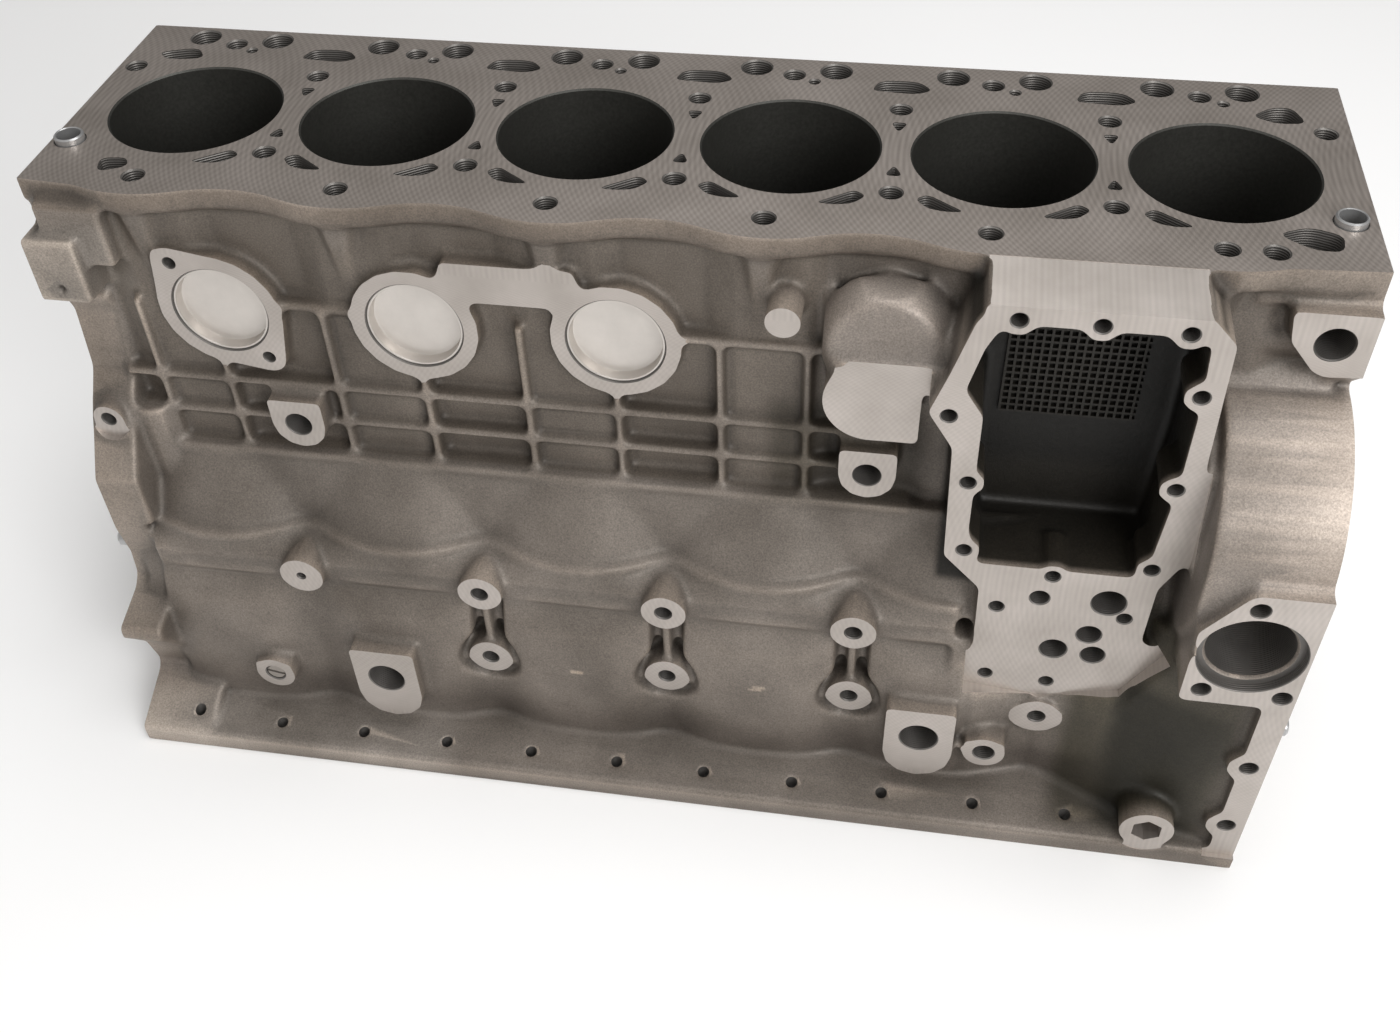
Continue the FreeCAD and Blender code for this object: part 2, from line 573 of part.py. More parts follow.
def hood():
    """The flat round-ended pad beside the cooler, with a domed hood above it."""
    x, z, face = MAIN_X[4], DECK_Z - 87.6, -118
    turns = [math.radians(90 + 30 * i) for i in range(7)]
    pad = [(x + 27 * math.cos(t), z + 27 * math.sin(t)) for t in turns]
    pad += [(x + 27, z - 27), (x + 27, z + 27)]
    sections = []
    for radius, y in ((34, -76), (33, -98), (27, -110), (15, face)):
        sections.append([V(a, y, b) for a, b in ring(radius, x + 5, z + 27, 10)])
    return [slab_y(pad, face, -60), skin(sections), slab_x(ring(26, -82, z + 27, 10), x + 5, x + 36)]


def cooler_points(upper, lower=()):
    """Places round the oil cooler: the upper ones hang from the deck, the lower stand on the crankshaft."""
    high = [(COOLER_X + dx, DECK_Z - drop) for dx, drop in upper]
    return high + [(COOLER_X + dx, z) for dx, z in lower]


def cooler_box():
    """The oil-cooler housing, open at its face, with the filter pad below."""
    body = slab_y(cooler_points(COOLER_OUTLINE, PAD_OUTLINE), COOLER_FACE_Y, -60)
    low = DECK_Z - 20
    ramp = [(DECK_NEAR_Y - 9, DECK_Z), (COOLER_FACE_Y, DECK_Z - COOLER_RAMP_DROP)]
    ramp += [(COOLER_FACE_Y, low), (-60, low), (-60, DECK_Z)]
    return [body, slab_x(ramp, COOLER_X - 66, COOLER_X + 44.7)]


def cooler_room():
    room = slab_y(cooler_points(COOLER_ROOM), COOLER_FACE_Y - 1, COOLER_FLOOR_Y)
    depth = COOLER_FACE_Y + COOLER_LOBE_DEPTH
    lobes = [slab_y(ring(COOLER_LOBE_R, x, z, 8), COOLER_FACE_Y - 1, depth) for x, z in cooler_points(COOLER_BOLTS)]
    return room.cut(lobes)


# ---- casting: inside ----

def cylinder_bores():
    return [bar_z(BORE_R, BORE_FOOT_Z, DECK_Z + 1, x, 0) for x in CYLINDER_X]


def crank_bay(x):
    """The room for one crank throw, with the camshaft chest beside it."""
    half = (PITCH - WEB_THICK) / 2
    reach = BAY_R / math.cos(math.radians(15))
    turns = [math.radians(15 + 30 * i) for i in range(6)]
    room = [(BAY_R, 0)] + [(reach * math.cos(t), reach * math.sin(t)) for t in turns] + [(-BAY_R, 0)]
    room += [(BAY_FOOT_NEAR_Y + 10, -4), (BAY_FOOT_NEAR_Y, RAIL_Z - 1), (BAY_FOOT_FAR_Y, RAIL_Z - 1)]
    room += [(BAY_FOOT_FAR_Y - 6, -4)]
    chest = box(x - half, x + half, CAM_Y - 30, CAM_CHEST_Y - WALL, CAM_ROOM_FLOOR, CAM_ROOM_TOP)
    return slab_x(room, x - half, x + half).fuse(chest)


def cap_slot():
    """The register for the caps, cut up to the crankshaft axis."""
    return box(REAR_X - 1, FRONT_X + 1, -CAP_HALF_WIDTH, CAP_HALF_WIDTH, RAIL_Z - 1, 0)


def tunnels():
    main = bar_x(MAIN_R, REAR_X - 1, FRONT_X + 1, 0, 0)
    cam = slab_x(ring(CAM_JOURNAL_R, CAM_Y, CAM_Z, 10), REAR_X + 10, FRONT_X - CAM_BUSH_LENGTH)
    bush = ring(CAM_BUSH_R + PRESS_FIT, CAM_Y, CAM_Z, ROUND_SIDES)
    plug = ring(CAM_PLUG_R + PRESS_FIT, CAM_Y, CAM_Z, ROUND_SIDES)
    front = slab_x(bush, FRONT_X - CAM_BUSH_LENGTH, FRONT_X + 1)
    rear = slab_x(plug, REAR_X - 1, REAR_X + CAM_PLUG_ROOM)
    gallery = slab_x(ring(GALLERY_R, GALLERY_Y, GALLERY_Z, 8), REAR_X - 1, FRONT_X + 1)
    return [main, cam, front, rear, gallery]


def deck_holes():
    """Bolt holes, pushrod holes and drillings of the head face."""
    holes = []
    for x, y in NEAR_BOLTS + FAR_BOLTS + INNER_BOLTS:
        holes.append(slab_z(ring(HEAD_BOLT_R, x, y), DECK_Z - HEAD_BOLT_DEPTH, DECK_Z + 1))
    for x in CYLINDER_X:
        for dx in PUSHROD_DX:
            holes.append(slab_z(ring(PUSHROD_R, x + dx, PUSHROD_Y), CAM_ROOM_TOP - 1, DECK_Z + 1))
        holes.append(slab_z(ring(OIL_DRILLING_R, x + 6, 75, 4), DECK_Z - PASSAGE_DEPTH, DECK_Z + 1))
    holes.append(slab_z(ring(6.5, FRONT_X - 55, NEAR_BOLT_Y), DECK_Z - 40, DECK_Z + 1))
    for x, y in DOWEL_RINGS:
        outline = ring(DOWEL_RING_R + PRESS_FIT, x, y, 8)
        holes.append(slab_z(outline, DECK_Z - DOWEL_RING_DEPTH, DECK_Z + 1))
    return holes


def passage(outline, depth):
    return slab_z(outline, DECK_Z - depth, DECK_Z + 1)


def crescent(x, side):
    """A curved water passage that follows the cylinder's wall, blunt towards the next cylinder."""
    corners = [(BORE_R + 11, 20), (BORE_R + 9, 31), (BORE_R + 9, 42), (BORE_R + 16, 43)]
    corners += [(BORE_R + 18, 35), (BORE_R + 15, 27)]
    turns = [(r, math.radians(-90 + side * a)) for r, a in corners]
    return passage([(x + r * math.cos(t), r * math.sin(t)) for r, t in turns], PASSAGE_DEPTH)


def deck_passages():
    """Water openings of the head face: a slot and two drillings between cylinders, crescents, corners."""
    cuts = []
    for x in MAIN_X[1:-1]:
        slot = [(-18, 69), (-14, 80), (8, 81), (16, 72), (8, 67), (-10, 68)]
        cuts.append(passage([(x + dx, y) for dx, y in slot], SLOT_DEPTH))
        for y, side in ((27, -1), (-22, 1)):
            corners = [(x - 4, y - 4 * side), (x + 4, y - 4 * side), (x, y + 5 * side)]
            cuts.append(passage(corners, PASSAGE_DEPTH))
    for x, after in zip(CYLINDER_X, CYLINDER_X[1:]):
        cuts += [crescent(x, 1), crescent(after, -1)]
    rear = ([(19, 66), (41, 74), (49, 62), (27, 58)], [(39, -62), (53, -60), (57, -68), (43, -75)])
    front = ([(-41, 73), (-30, 74), (-24, 58), (-40, 56), (-52, 63)],
             [(-52, -60), (-36, -52), (-20, -58), (-22, -72), (-36, -72)])
    for corners in rear:
        cuts.append(passage([(REAR_X + dx, y) for dx, y in corners], PASSAGE_DEPTH))
    for corners in front:
        cuts.append(passage([(FRONT_X + dx, y) for dx, y in corners], PASSAGE_DEPTH))
    return cuts


def tapped(radius, x, z, face_y, depth, sides=6):
    return slab_y(ring(radius, x, z, sides), face_y - 1, face_y + depth)


def wall_holes():
    """Openings in the water jacket wall and the cooler face."""
    outlines = [ring(PLUG_R + PRESS_FIT, x, PLUG_Z, ROUND_SIDES) for x in PLUG_X]
    holes = [slab_y(outline, PLUG_FACE_Y - 1, PLUG_ROOM_Y) for outline in outlines]
    holes += [tapped(M8_R, x, z, PLUG_FACE_Y, 18) for x, z in PLUG_EARS]
    for x, z in cooler_points(COOLER_BOLTS, PAD_BOLTS):
        holes.append(tapped(COOLER_BOLT_R, x, z, COOLER_FACE_Y, COOLER_BOLT_DEPTH))
    for dx, z, radius in OIL_PORTS:
        holes.append(tapped(radius, COOLER_X + dx, z, COOLER_FACE_Y, 28, 8))
    holes += [tapped(GALLERY_PORT_R, x, GALLERY_PORT_Z, GALLERY_PORT_Y, 24, 8) for x in GALLERY_PORT_X]
    holes.append(tapped(10, FRONT_X - 19, DECK_Z - 39.6, -98.5, 28, 12))
    holes.append(tapped(4.5, REAR_X + 11, RIB_ROWS_Z[1], -100, 20))
    holes.append(tapped(M8_R, REAR_X + 14, DECK_Z - 63, -106, 20))
    return holes


def skirt_holes():
    """Openings in the crankcase wall and the front flange."""
    holes = [tapped(PILOT_R, UPPER_BOSS_X[0], UPPER_BOSS_Z, BOSS_FACE_Y, 8)]
    for x in UPPER_BOSS_X[1:]:
        holes.append(tapped(M12_R, x, UPPER_BOSS_Z, BOSS_FACE_Y, BOSS_HOLE_DEPTH))
    for x in LOWER_BOSS_X:
        holes.append(tapped(M12_R, x, LOWER_BOSS_Z, BOSS_FACE_Y, BOSS_HOLE_DEPTH))
    for x in SUMP_PORT_X:
        holes.append(slab_y(ring(SUMP_PORT_R, x, SUMP_PORT_Z, 12), SUMP_PORT_Y - 1, -100))
    for x in (DRAIN_PLUG_X, SENSOR_X):
        holes.append(slab_y(ring(SMALL_PORT_R + PRESS_FIT, x, SMALL_PORT_Z, 8), SMALL_PORT_Y - 1, -105))
    holes += [tapped(M12_R, x, z, SIDE_FACE_Y, 28) for x, z in SIDE_BOLTS + INLET_BOLTS]
    holes.append(tapped(M12_R, FRONT_X - FOOT_BOSS_BACK, FOOT_BOSS_Z, SIDE_FACE_Y - 3, BOSS_HOLE_DEPTH))
    return holes


def pump_room():
    room = bar_x(PUMP_ROOM_R, FRONT_X - PUMP_ROOM_DEPTH, FRONT_X + 1, PUMP_Y, PUMP_Z)
    seat = bar_y(INLET_SEAT_R, SIDE_FACE_Y - 1, SIDE_FACE_Y + INLET_SEAT_DEPTH, INLET_X, INLET_Z)
    inlet = bar_y(INLET_R, SIDE_FACE_Y - 1, INLET_END_Y, INLET_X, INLET_Z)
    throat = slab_y(ring(THROAT_R, INLET_X, INLET_Z, 12), INLET_END_Y, THROAT_Y)
    return [room, seat, inlet, throat]


def rail_holes():
    """Tapped holes of the oil pan, through the rail on both sides."""
    holes = []
    x = REAR_X + RAIL_HOLE_FIRST
    while x < FRONT_X - 90:
        for y in (RAIL_NEAR_Y + RAIL_HOLE_INSET, RAIL_FAR_Y - RAIL_HOLE_INSET):
            holes.append(slab_z(ring(RAIL_HOLE_R, x, y, 4), RAIL_Z - 1, RAIL_Z + RAIL_THICK + RAIL_ROOT + 12))
        x += RAIL_HOLE_STEP
    return holes


def end_holes():
    """Tapped holes and dowel holes of the two end faces."""
    holes = []
    for y, z in REAR_BOLTS:
        holes.append(slab_x(ring(M12_R, y, z), REAR_X - 1, REAR_X + END_HOLE_DEPTH))
    for y, z in FRONT_BOLTS:
        holes.append(slab_x(ring(M12_R, y, z), FRONT_X - END_HOLE_DEPTH, FRONT_X + 1))
    fit = END_DOWEL_R + PRESS_FIT
    holes += [slab_x(ring(fit, y, z, 8), REAR_X - 1, REAR_X + END_DOWEL_SEAT) for y, z in REAR_DOWELS]
    holes += [slab_x(ring(fit, y, z, 8), FRONT_X - END_DOWEL_SEAT, FRONT_X + 1) for y, z in FRONT_DOWELS]
    return holes


def cap_bolt_holes():
    holes = []
    for x in MAIN_X:
        for side in (-1, 1):
            outline = ring(CAP_BOLT_R + SLIDE_FIT, bearing_x(x), side * CAP_BOLT_Y)
            holes.append(slab_z(outline, -1, CAP_BOLT_DEPTH))
    return holes


def bearing_x(x):
    """A main bearing's middle: the end ones lie inside the end faces."""
    return min(max(x, REAR_X + WEB_THICK / 2), FRONT_X - WEB_THICK / 2)


def casting():
    outside = [deck_slab(), ledge(), shoulder_wall()] + jacket_wall() + pan_rail() + far_wall()
    for x in CYLINDER_X:
        outside += [shoulder(x), skirt(x)]
    outside += rear_flange() + front_flange() + fairing() + corner_block() + pump_shell()
    outside += plug_lands() + ribs() + ring_bosses() + skirt_bosses() + wall_bosses() + hood()
    outside += cooler_box()
    inside = cylinder_bores() + [crank_bay(x) for x in CYLINDER_X] + [cap_slot(), cooler_room()]
    inside += tunnels() + pump_room() + deck_holes() + deck_passages() + wall_holes()
    inside += skirt_holes() + rail_holes() + end_holes() + cap_bolt_holes()
    return fused(outside).cut(inside).removeSplitter()


# ---- separate pieces ----

def main_cap(x):
    """A bearing cap: half of the main bore, with a pad for each bolt."""
    half = WEB_THICK / 2
    slope_y = CAP_HALF_WIDTH - CAP_PAD_WIDTH
    outline = [(-CAP_HALF_WIDTH, 0), (-CAP_HALF_WIDTH, -CAP_PAD_DEPTH), (-slope_y, -CAP_PAD_DEPTH)]
    outline += [(-slope_y + CAP_SLOPE, -CAP_DEPTH)]
    outline += [(-y, z) for y, z in reversed(outline)]
    cap = slab_x(outline, x - half, x + half)
    reach = MAIN_R / math.cos(math.pi / CAP_SIDES)
    turns = [2 * math.pi * (i + 0.5) / CAP_SIDES for i in range(CAP_SIDES)]
    bore = [(reach * math.cos(t), reach * math.sin(t)) for t in turns]
    cuts = [slab_x(bore, x - half - 1, x + half + 1)]
    for side in (-1, 1):
        cuts.append(slab_z(ring(CAP_BOLT_R + SLIDE_FIT, x, side * CAP_BOLT_Y), -CAP_PAD_DEPTH - 1, 1))
    return cap.cut(cuts)


def cap_bolt(x, y):
    head = slab_z(hexagon(CAP_HEAD_ACROSS, x, y), -CAP_PAD_DEPTH - CAP_HEAD_THICK, -CAP_PAD_DEPTH)
    shank = slab_z(ring(CAP_BOLT_R, x, y), -CAP_PAD_DEPTH - 1, CAP_BOLT_DEPTH - CAP_BOLT_SPARE)
    return head.fuse(shank).removeSplitter()


def hexagon(across, a, b):
    """Corners of a hexagon of the given width across its flats."""
    reach = across / math.sqrt(3)
    turns = [math.radians(60 * i) for i in range(6)]
    return [(a + reach * math.cos(t), b + reach * math.sin(t)) for t in turns]


def core_plug(x):
    """A cup pressed from sheet, its open side outwards."""
    y0 = PLUG_FACE_Y + PLUG_LIP
    cup = slab_y(ring(PLUG_R, x, PLUG_Z, ROUND_SIDES), y0, y0 + PLUG_DEPTH)
    hollow = slab_y(ring(PLUG_R - PLUG_SHEET, x, PLUG_Z, ROUND_SIDES), y0 - 1, y0 + PLUG_DEPTH - PLUG_SHEET)
    return cup.cut(hollow)


def cam_plug():
    """The cup that closes the camshaft bore at the flywheel end, open side outwards."""
    x0 = REAR_X + PLUG_LIP
    cup = slab_x(ring(CAM_PLUG_R, CAM_Y, CAM_Z, ROUND_SIDES), x0, x0 + CAM_PLUG_DEPTH)
    hollow = slab_x(ring(CAM_PLUG_R - PLUG_SHEET, CAM_Y, CAM_Z, ROUND_SIDES), x0 - 1,
                    x0 + CAM_PLUG_DEPTH - PLUG_SHEET)
    return cup.cut(hollow)


def cam_bush():
    """The front camshaft bearing, a plain bush flush with the front face."""
    x0 = FRONT_X - CAM_BUSH_LENGTH
    bush = slab_x(ring(CAM_BUSH_R, CAM_Y, CAM_Z, ROUND_SIDES), x0, FRONT_X)
    return bush.cut(slab_x(ring(CAM_JOURNAL_R, CAM_Y, CAM_Z, ROUND_SIDES), x0 - 1, FRONT_X + 1))


def gallery_plug(x, toward):
    """A threaded plug with a hexagon socket, just below the end face."""
    outer, inner = sorted((x, x + toward * GALLERY_PLUG_LENGTH))
    reach = GALLERY_R - PRESS_FIT
    plug = slab_x(ring(reach, GALLERY_Y, GALLERY_Z, 8), outer, inner)
    mouth, floor = sorted((x - toward, x + toward * GALLERY_PLUG_LENGTH * 0.6))
    return plug.cut(slab_x(hexagon(GALLERY_SOCKET_ACROSS, GALLERY_Y, GALLERY_Z), mouth, floor))


def drain_plug():
    """The slotted screw plug low on the crankcase."""
    y0 = SMALL_PORT_Y + 1
    plug = slab_y(ring(SMALL_PORT_R, DRAIN_PLUG_X, SMALL_PORT_Z, 8), y0, y0 + DRAIN_PLUG_LENGTH)
    half = DRAIN_SLOT / 2
    slot = box(DRAIN_PLUG_X - SMALL_PORT_R, DRAIN_PLUG_X + SMALL_PORT_R, y0 - 1, y0 + 3,
               SMALL_PORT_Z - half, SMALL_PORT_Z + half)
    return plug.cut(slot)


def dowel_ring(x, y):
    """A split-free ring that centres the head round its bolt."""
    z0 = DECK_Z - DOWEL_RING_DEPTH
    outer = slab_z(ring(DOWEL_RING_R, x, y, 8), z0, DECK_Z + DOWEL_RING_HEIGHT)
    hole = slab_z(ring(DOWEL_RING_R - DOWEL_RING_WALL, x, y, 8), z0 - 1, DECK_Z + DOWEL_RING_HEIGHT + 1)
    return outer.cut(hole)


def end_dowel(y, z, face_x, outward):
    """A solid pin that centres the housing on an end face."""
    a, b = sorted((face_x - outward * END_DOWEL_SEAT, face_x + outward * END_DOWEL_PROUD))
    return slab_x(ring(END_DOWEL_R, y, z, 8), a, b)


def save(name, solids):
    shape = solids[0] if len(solids) == 1 else Part.makeCompound(solids)
    shape.exportStep("parts/" + name + ".step")


def main():
    os.makedirs("parts", exist_ok=True)
    save("cylinder_block", [casting()])
    for number, x in enumerate(MAIN_X, 1):
        save("main_cap_%d" % number, [main_cap(bearing_x(x))])
    save("main_cap_bolts", [cap_bolt(bearing_x(x), side * CAP_BOLT_Y) for x in MAIN_X for side in (-1, 1)])
    for number, x in enumerate(PLUG_X, 1):
        save("core_plug_%d" % number, [core_plug(x)])
    save("cam_plug", [cam_plug()])
    save("cam_bush", [cam_bush()])
    save("gallery_plug_rear", [gallery_plug(REAR_X + 1, 1)])
    save("gallery_plug_front", [gallery_plug(FRONT_X - 1, -1)])
    save("drain_plug", [drain_plug()])
    save("head_dowel_rings", [dowel_ring(x, y) for x, y in DOWEL_RINGS])
    save("rear_dowels", [end_dowel(y, z, REAR_X, -1) for y, z in REAR_DOWELS])
    save("front_dowels", [end_dowel(y, z, FRONT_X, 1) for y, z in FRONT_DOWELS])


main()
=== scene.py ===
import math
import bpy
import bmesh
import numpy as np
import openvdb as vdb
from mathutils import Matrix, Vector


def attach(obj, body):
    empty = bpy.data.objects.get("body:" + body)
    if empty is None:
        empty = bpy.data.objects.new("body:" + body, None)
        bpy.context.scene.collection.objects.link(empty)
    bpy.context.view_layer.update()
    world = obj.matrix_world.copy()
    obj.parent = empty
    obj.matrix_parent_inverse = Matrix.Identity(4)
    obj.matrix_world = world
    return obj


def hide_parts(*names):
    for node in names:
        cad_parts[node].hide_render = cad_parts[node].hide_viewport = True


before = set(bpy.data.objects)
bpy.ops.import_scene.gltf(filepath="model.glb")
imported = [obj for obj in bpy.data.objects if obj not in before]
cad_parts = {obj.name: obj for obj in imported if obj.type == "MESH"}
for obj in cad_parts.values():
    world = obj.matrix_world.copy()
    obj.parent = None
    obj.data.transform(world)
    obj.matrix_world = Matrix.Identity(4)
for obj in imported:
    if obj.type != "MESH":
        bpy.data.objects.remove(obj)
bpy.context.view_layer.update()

MM = 0.001

# ---- the block's places, in millimetres, as in its source ----
DECK_Z = 322.6
RAIL_Z = -77.4
REAR_X = -371.0
FRONT_X = 374.0
COOLER_X = 240.0
COOLER_FACE_Y = -134.0
PLUG_FACE_Y = -91.3
SIDE_FACE_Y = -177.0
CORNER_PORT_Y = -98.5         # faces of the smaller bosses
HOOD_PAD_Y = -118.0
DISC_Y = -110.0
BOSS_FACE_Y = -139.0
SUMP_PORT_Y = -158.0
SMALL_PORT_Y = -155.0
GALLERY_PORT_Y = -102.0
REAR_BOSS_Y = -108.0
MAIN_X = [120.0 * i for i in range(-3, 4)]
CYLINDER_X = [x + 60.0 for x in MAIN_X[:-1]]
BORE_R = 51.0
MAIN_R = 44.0
PLUG_X = [x + 31.0 for x in CYLINDER_X[:3]]
PLUG_Z = 241.6
PLUG_R = 29.0
PLUG_DEPTH = 9.0
PLUG_SHEET = 1.6
PLUG_LIP = 1.2                # rim of a pressed plug below its land
UPPER_BOSSES = [(x, 66.6) for x in MAIN_X[1:5]]
LOWER_BOSSES = [(x, 5.0) for x in MAIN_X[2:6]]
BOSS_R = 14.2
DRAIN, SENSOR = (MAIN_X[1] - 31.5, -18.0), (MAIN_X[4] + 89.5, -18.0)
HOOD_PAD = (120.0, 235.0, 27.0)    # x and z of its round end, and half its height
CAM_Y, CAM_Z = 92, 130
GALLERY_Y, GALLERY_Z = -82, 104
INLET_X, INLET_Z = 342, 124
PUMP_Y, PUMP_Z = -86, 162.6
CAP_BOLT_Y = 59
CAP_PAD_Z = -42               # where the heads of the cap bolts bear
DOWEL_RING_Y = -44
REAR_DOWELS = ((-112, 58), (118, 20))
FRONT_DOWELS = ((-154, 40), (120, 0))

# Shoulder, ledge and skirt of the crankcase wall.
SHOULDER_Z = 135.6            # where the wall starts to widen
SHOULDER_R = 99
SHOULDER_SLOPE = 0.542        # how far the barrels lean out as they go down
LEDGE_Z = 84.6                # the crest of the shelf, and its straight edge
LEDGE_EDGE_Y = -130
LEDGE_EDGE_Z = 70.6
LEDGE_LOW_Z = 56.6
BELT_END_X = 182              # where they run into the filter pad
SKIRT_END_X = 192

# ---- how the casting is made ----
VOXEL = 1.5                   # of the level set
ALLOWANCE = 6.0               # metal left on a face until it is machined
OVERSIZE = 4.0                # how far a milling cutter sweeps past its face
FILLET = 2.4                  # radius of the cast inner corners
ROUNDING = 0.8                # radius of the cast outer edges
CASTING_TRIANGLES = 205000
CHAMFER = 0.7
WIDEST_HOLE = 7500.0          # area; wider openings have cutters of their own
CLEAR = 400                   # past the whole block, for cutters that go right through
TRAVEL = 40                   # how far a milling cutter reaches outwards

X, Y, Z = 0, 1, 2

# Machined planes: axis, side and place.
MACHINED = [(Z, 1, DECK_Z), (Z, -1, RAIL_Z), (X, -1, REAR_X), (X, 1, FRONT_X)]
MACHINED += [(Y, -1, y) for y in (COOLER_FACE_Y, SIDE_FACE_Y, CORNER_PORT_Y, HOOD_PAD_Y, DISC_Y, PLUG_FACE_Y,
                                  BOSS_FACE_Y, SUMP_PORT_Y, SMALL_PORT_Y, GALLERY_PORT_Y)]

# The machined face of the cooler housing and its filter pad: x from the housing's middle, and z.
COOLER_FACE = ((-71, 138), (-74, 221), (-89, 245), (-80, 272), (-70, 306), (-62, 318.6), (44, 318.6),
               (58, 304), (60, 230), (63, 148), (53, 126), (52, 80), (64, 73), (44, 37), (-2, 25), (-45, 30),
               (-48, 113))
# Holes that run into a rib's foot, so that their face has no plain edge there: y, x, z, radius, depth.
OPEN_HOLES = [(PLUG_FACE_Y, x, PLUG_Z, PLUG_R + 0.1, 33.0) for x in PLUG_X]
OPEN_HOLES += [(COOLER_FACE_Y, COOLER_X + 2, 65.6, 8.1, 28.0), (COOLER_FACE_Y, COOLER_X + 2, 34.6, 4.2, 22.0),
               (COOLER_FACE_Y, COOLER_X - 36, 36.6, 4.2, 22.0)]
# Round machined bosses with a tapped hole: y, x, z, radius, hole radius.
SMALL_PORTS = [(SMALL_PORT_Y, x, z, 13.5, 6.6) for x, z in (DRAIN, SENSOR)]
SPOT_FACES = [(SIDE_FACE_Y - 3, FRONT_X - 58, -47.0, 17.0, 5.1), (REAR_BOSS_Y, REAR_X + 13, 161.6, 10.0, 4.5)]
SPOT_FACES += SMALL_PORTS


# ---- meshes ----

def cad_mesh(node):
    """A CAD node's welded corners in millimetres and its triangles."""
    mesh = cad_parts[node].data
    mesh.calc_loop_triangles()
    corners = np.empty(len(mesh.vertices) * 3)
    mesh.vertices.foreach_get("co", corners)
    triangles = np.empty(len(mesh.loop_triangles) * 3, np.int32)
    mesh.loop_triangles.foreach_get("vertices", triangles)
    welded, where = np.unique(np.round(corners.reshape(-1, 3) / MM, 3), axis=0, return_inverse=True)
    triangles = where.reshape(-1)[triangles.reshape(-1, 3)]
    whole = (triangles != np.roll(triangles, 1, axis=1)).all(1)
    return welded, triangles[whole]


def new_object(name, corners, faces, materials=()):
    """An object from millimetre corners."""
    mesh = bpy.data.meshes.new(name)
    mesh.from_pydata((np.asarray(corners, float) * MM).tolist(), [], [list(map(int, f)) for f in faces])
    for material in materials:
        mesh.materials.append(material)
    mesh.update()
    obj = bpy.data.objects.new(name, mesh)
    bpy.context.scene.collection.objects.link(obj)
    return obj


def apply_modifiers(obj):
    """Gives obj the mesh that its modifiers make."""
    bpy.context.view_layer.update()
    done = bpy.data.meshes.new_from_object(obj.evaluated_get(bpy.context.evaluated_depsgraph_get()))
    old = obj.data
    obj.modifiers.clear()
    obj.data = done
    bpy.data.meshes.remove(old)


def cut(obj, cutter):
    """Takes the cutter's form out of obj; the new faces get the cutter's material."""
    modifier = obj.modifiers.new("cut", "BOOLEAN")
    modifier.operation = "DIFFERENCE"
    modifier.solver = "MANIFOLD"
    modifier.object = cutter
    modifier.material_mode = "TRANSFER"
    apply_modifiers(obj)
    mesh = cutter.data
    bpy.data.objects.remove(cutter)
    bpy.data.meshes.remove(mesh)


def box_faces(x, y, z):
    """A box between two places along each axis."""
    corners = [(a, b, c) for a in x for b in y for c in z]
    faces = [(0, 1, 3, 2), (4, 6, 7, 5), (0, 4, 5, 1), (2, 3, 7, 6), (0, 2, 6, 4), (1, 5, 7, 3)]
    return corners, faces


def lathe(rings, sides=48):
    """Stacked rings of (height, radius) closed at both ends; a radius of 0 is a point on the axis."""
    turns = [2 * math.pi * i / sides for i in range(sides)]
    corners = [(r * math.cos(t), r * math.sin(t), h) for h, r in rings for t in turns]
    faces = [tuple(range(sides))[::-1]]
    for k in range(len(rings) - 1):
        low, high = k * sides, (k + 1) * sides
        for i in range(sides):
            j = (i + 1) % sides
            faces.append((low + i, low + j, high + j, high + i))
    faces.append(tuple(range((len(rings) - 1) * sides, len(rings) * sides)))
    return np.array(corners), faces


def placed(corners, axis, sign, origin):
    """Turns a form built up along Z so that it points along an axis, and moves it."""
    out = np.zeros_like(corners)
    u, v = (axis + 1) % 3, (axis + 2) % 3
    out[:, u], out[:, v], out[:, axis] = corners[:, 0], corners[:, 1] * sign, corners[:, 2] * sign
    return out + np.array(origin)


def split(corners, faces):
    """The same form in triangles."""
    return corners, [(f[0], f[i], f[i + 1]) for f in faces for i in range(1, len(f) - 1)]


def gathered(parts):
    """Several (corners, faces) as one."""
    corners, faces, start = [], [], 0
    for c, f in parts:
        corners.append(np.asarray(c, float))
        faces += [tuple(i + start for i in face) for face in f]
        start += len(c)
    return np.concatenate(corners), faces


# ---- the rough casting ----

def on_plane(corners, triangles, axis, sign, place):
    """The triangles that lie on one plane and face one way."""
    flat = (abs(corners[triangles][:, :, axis] - place) < 0.02).all(1)
    a, b, c = (corners[triangles[:, i]] for i in range(3))
    return triangles[flat & (np.cross(b - a, c - a)[:, axis] * sign > 1e-9)]


def border(triangles):
    """Directed edges that belong to one triangle only."""
    edges = np.concatenate([triangles[:, [0, 1]], triangles[:, [1, 2]], triangles[:, [2, 0]]])
    known = {(int(a), int(b)) for a, b in edges}
    return [(a, b) for a, b in known if (b, a) not in known]


def allowance(corners, triangles, axis, sign):
    """The metal that the foundry leaves on a face to be machined."""
    used, flat = np.unique(triangles, return_inverse=True)
    flat = flat.reshape(-1, 3)
    low, high = corners[used].copy(), corners[used].copy()
    low[:, axis] -= sign
    high[:, axis] += sign * ALLOWANCE
    count = len(used)
    faces = [tuple(t) for t in flat + count] + [tuple(t[::-1]) for t in flat]
    for a, b in border(flat):
        faces += [(a, b, b + count), (a, b + count, a + count)]
    return np.concatenate([low, high]), faces


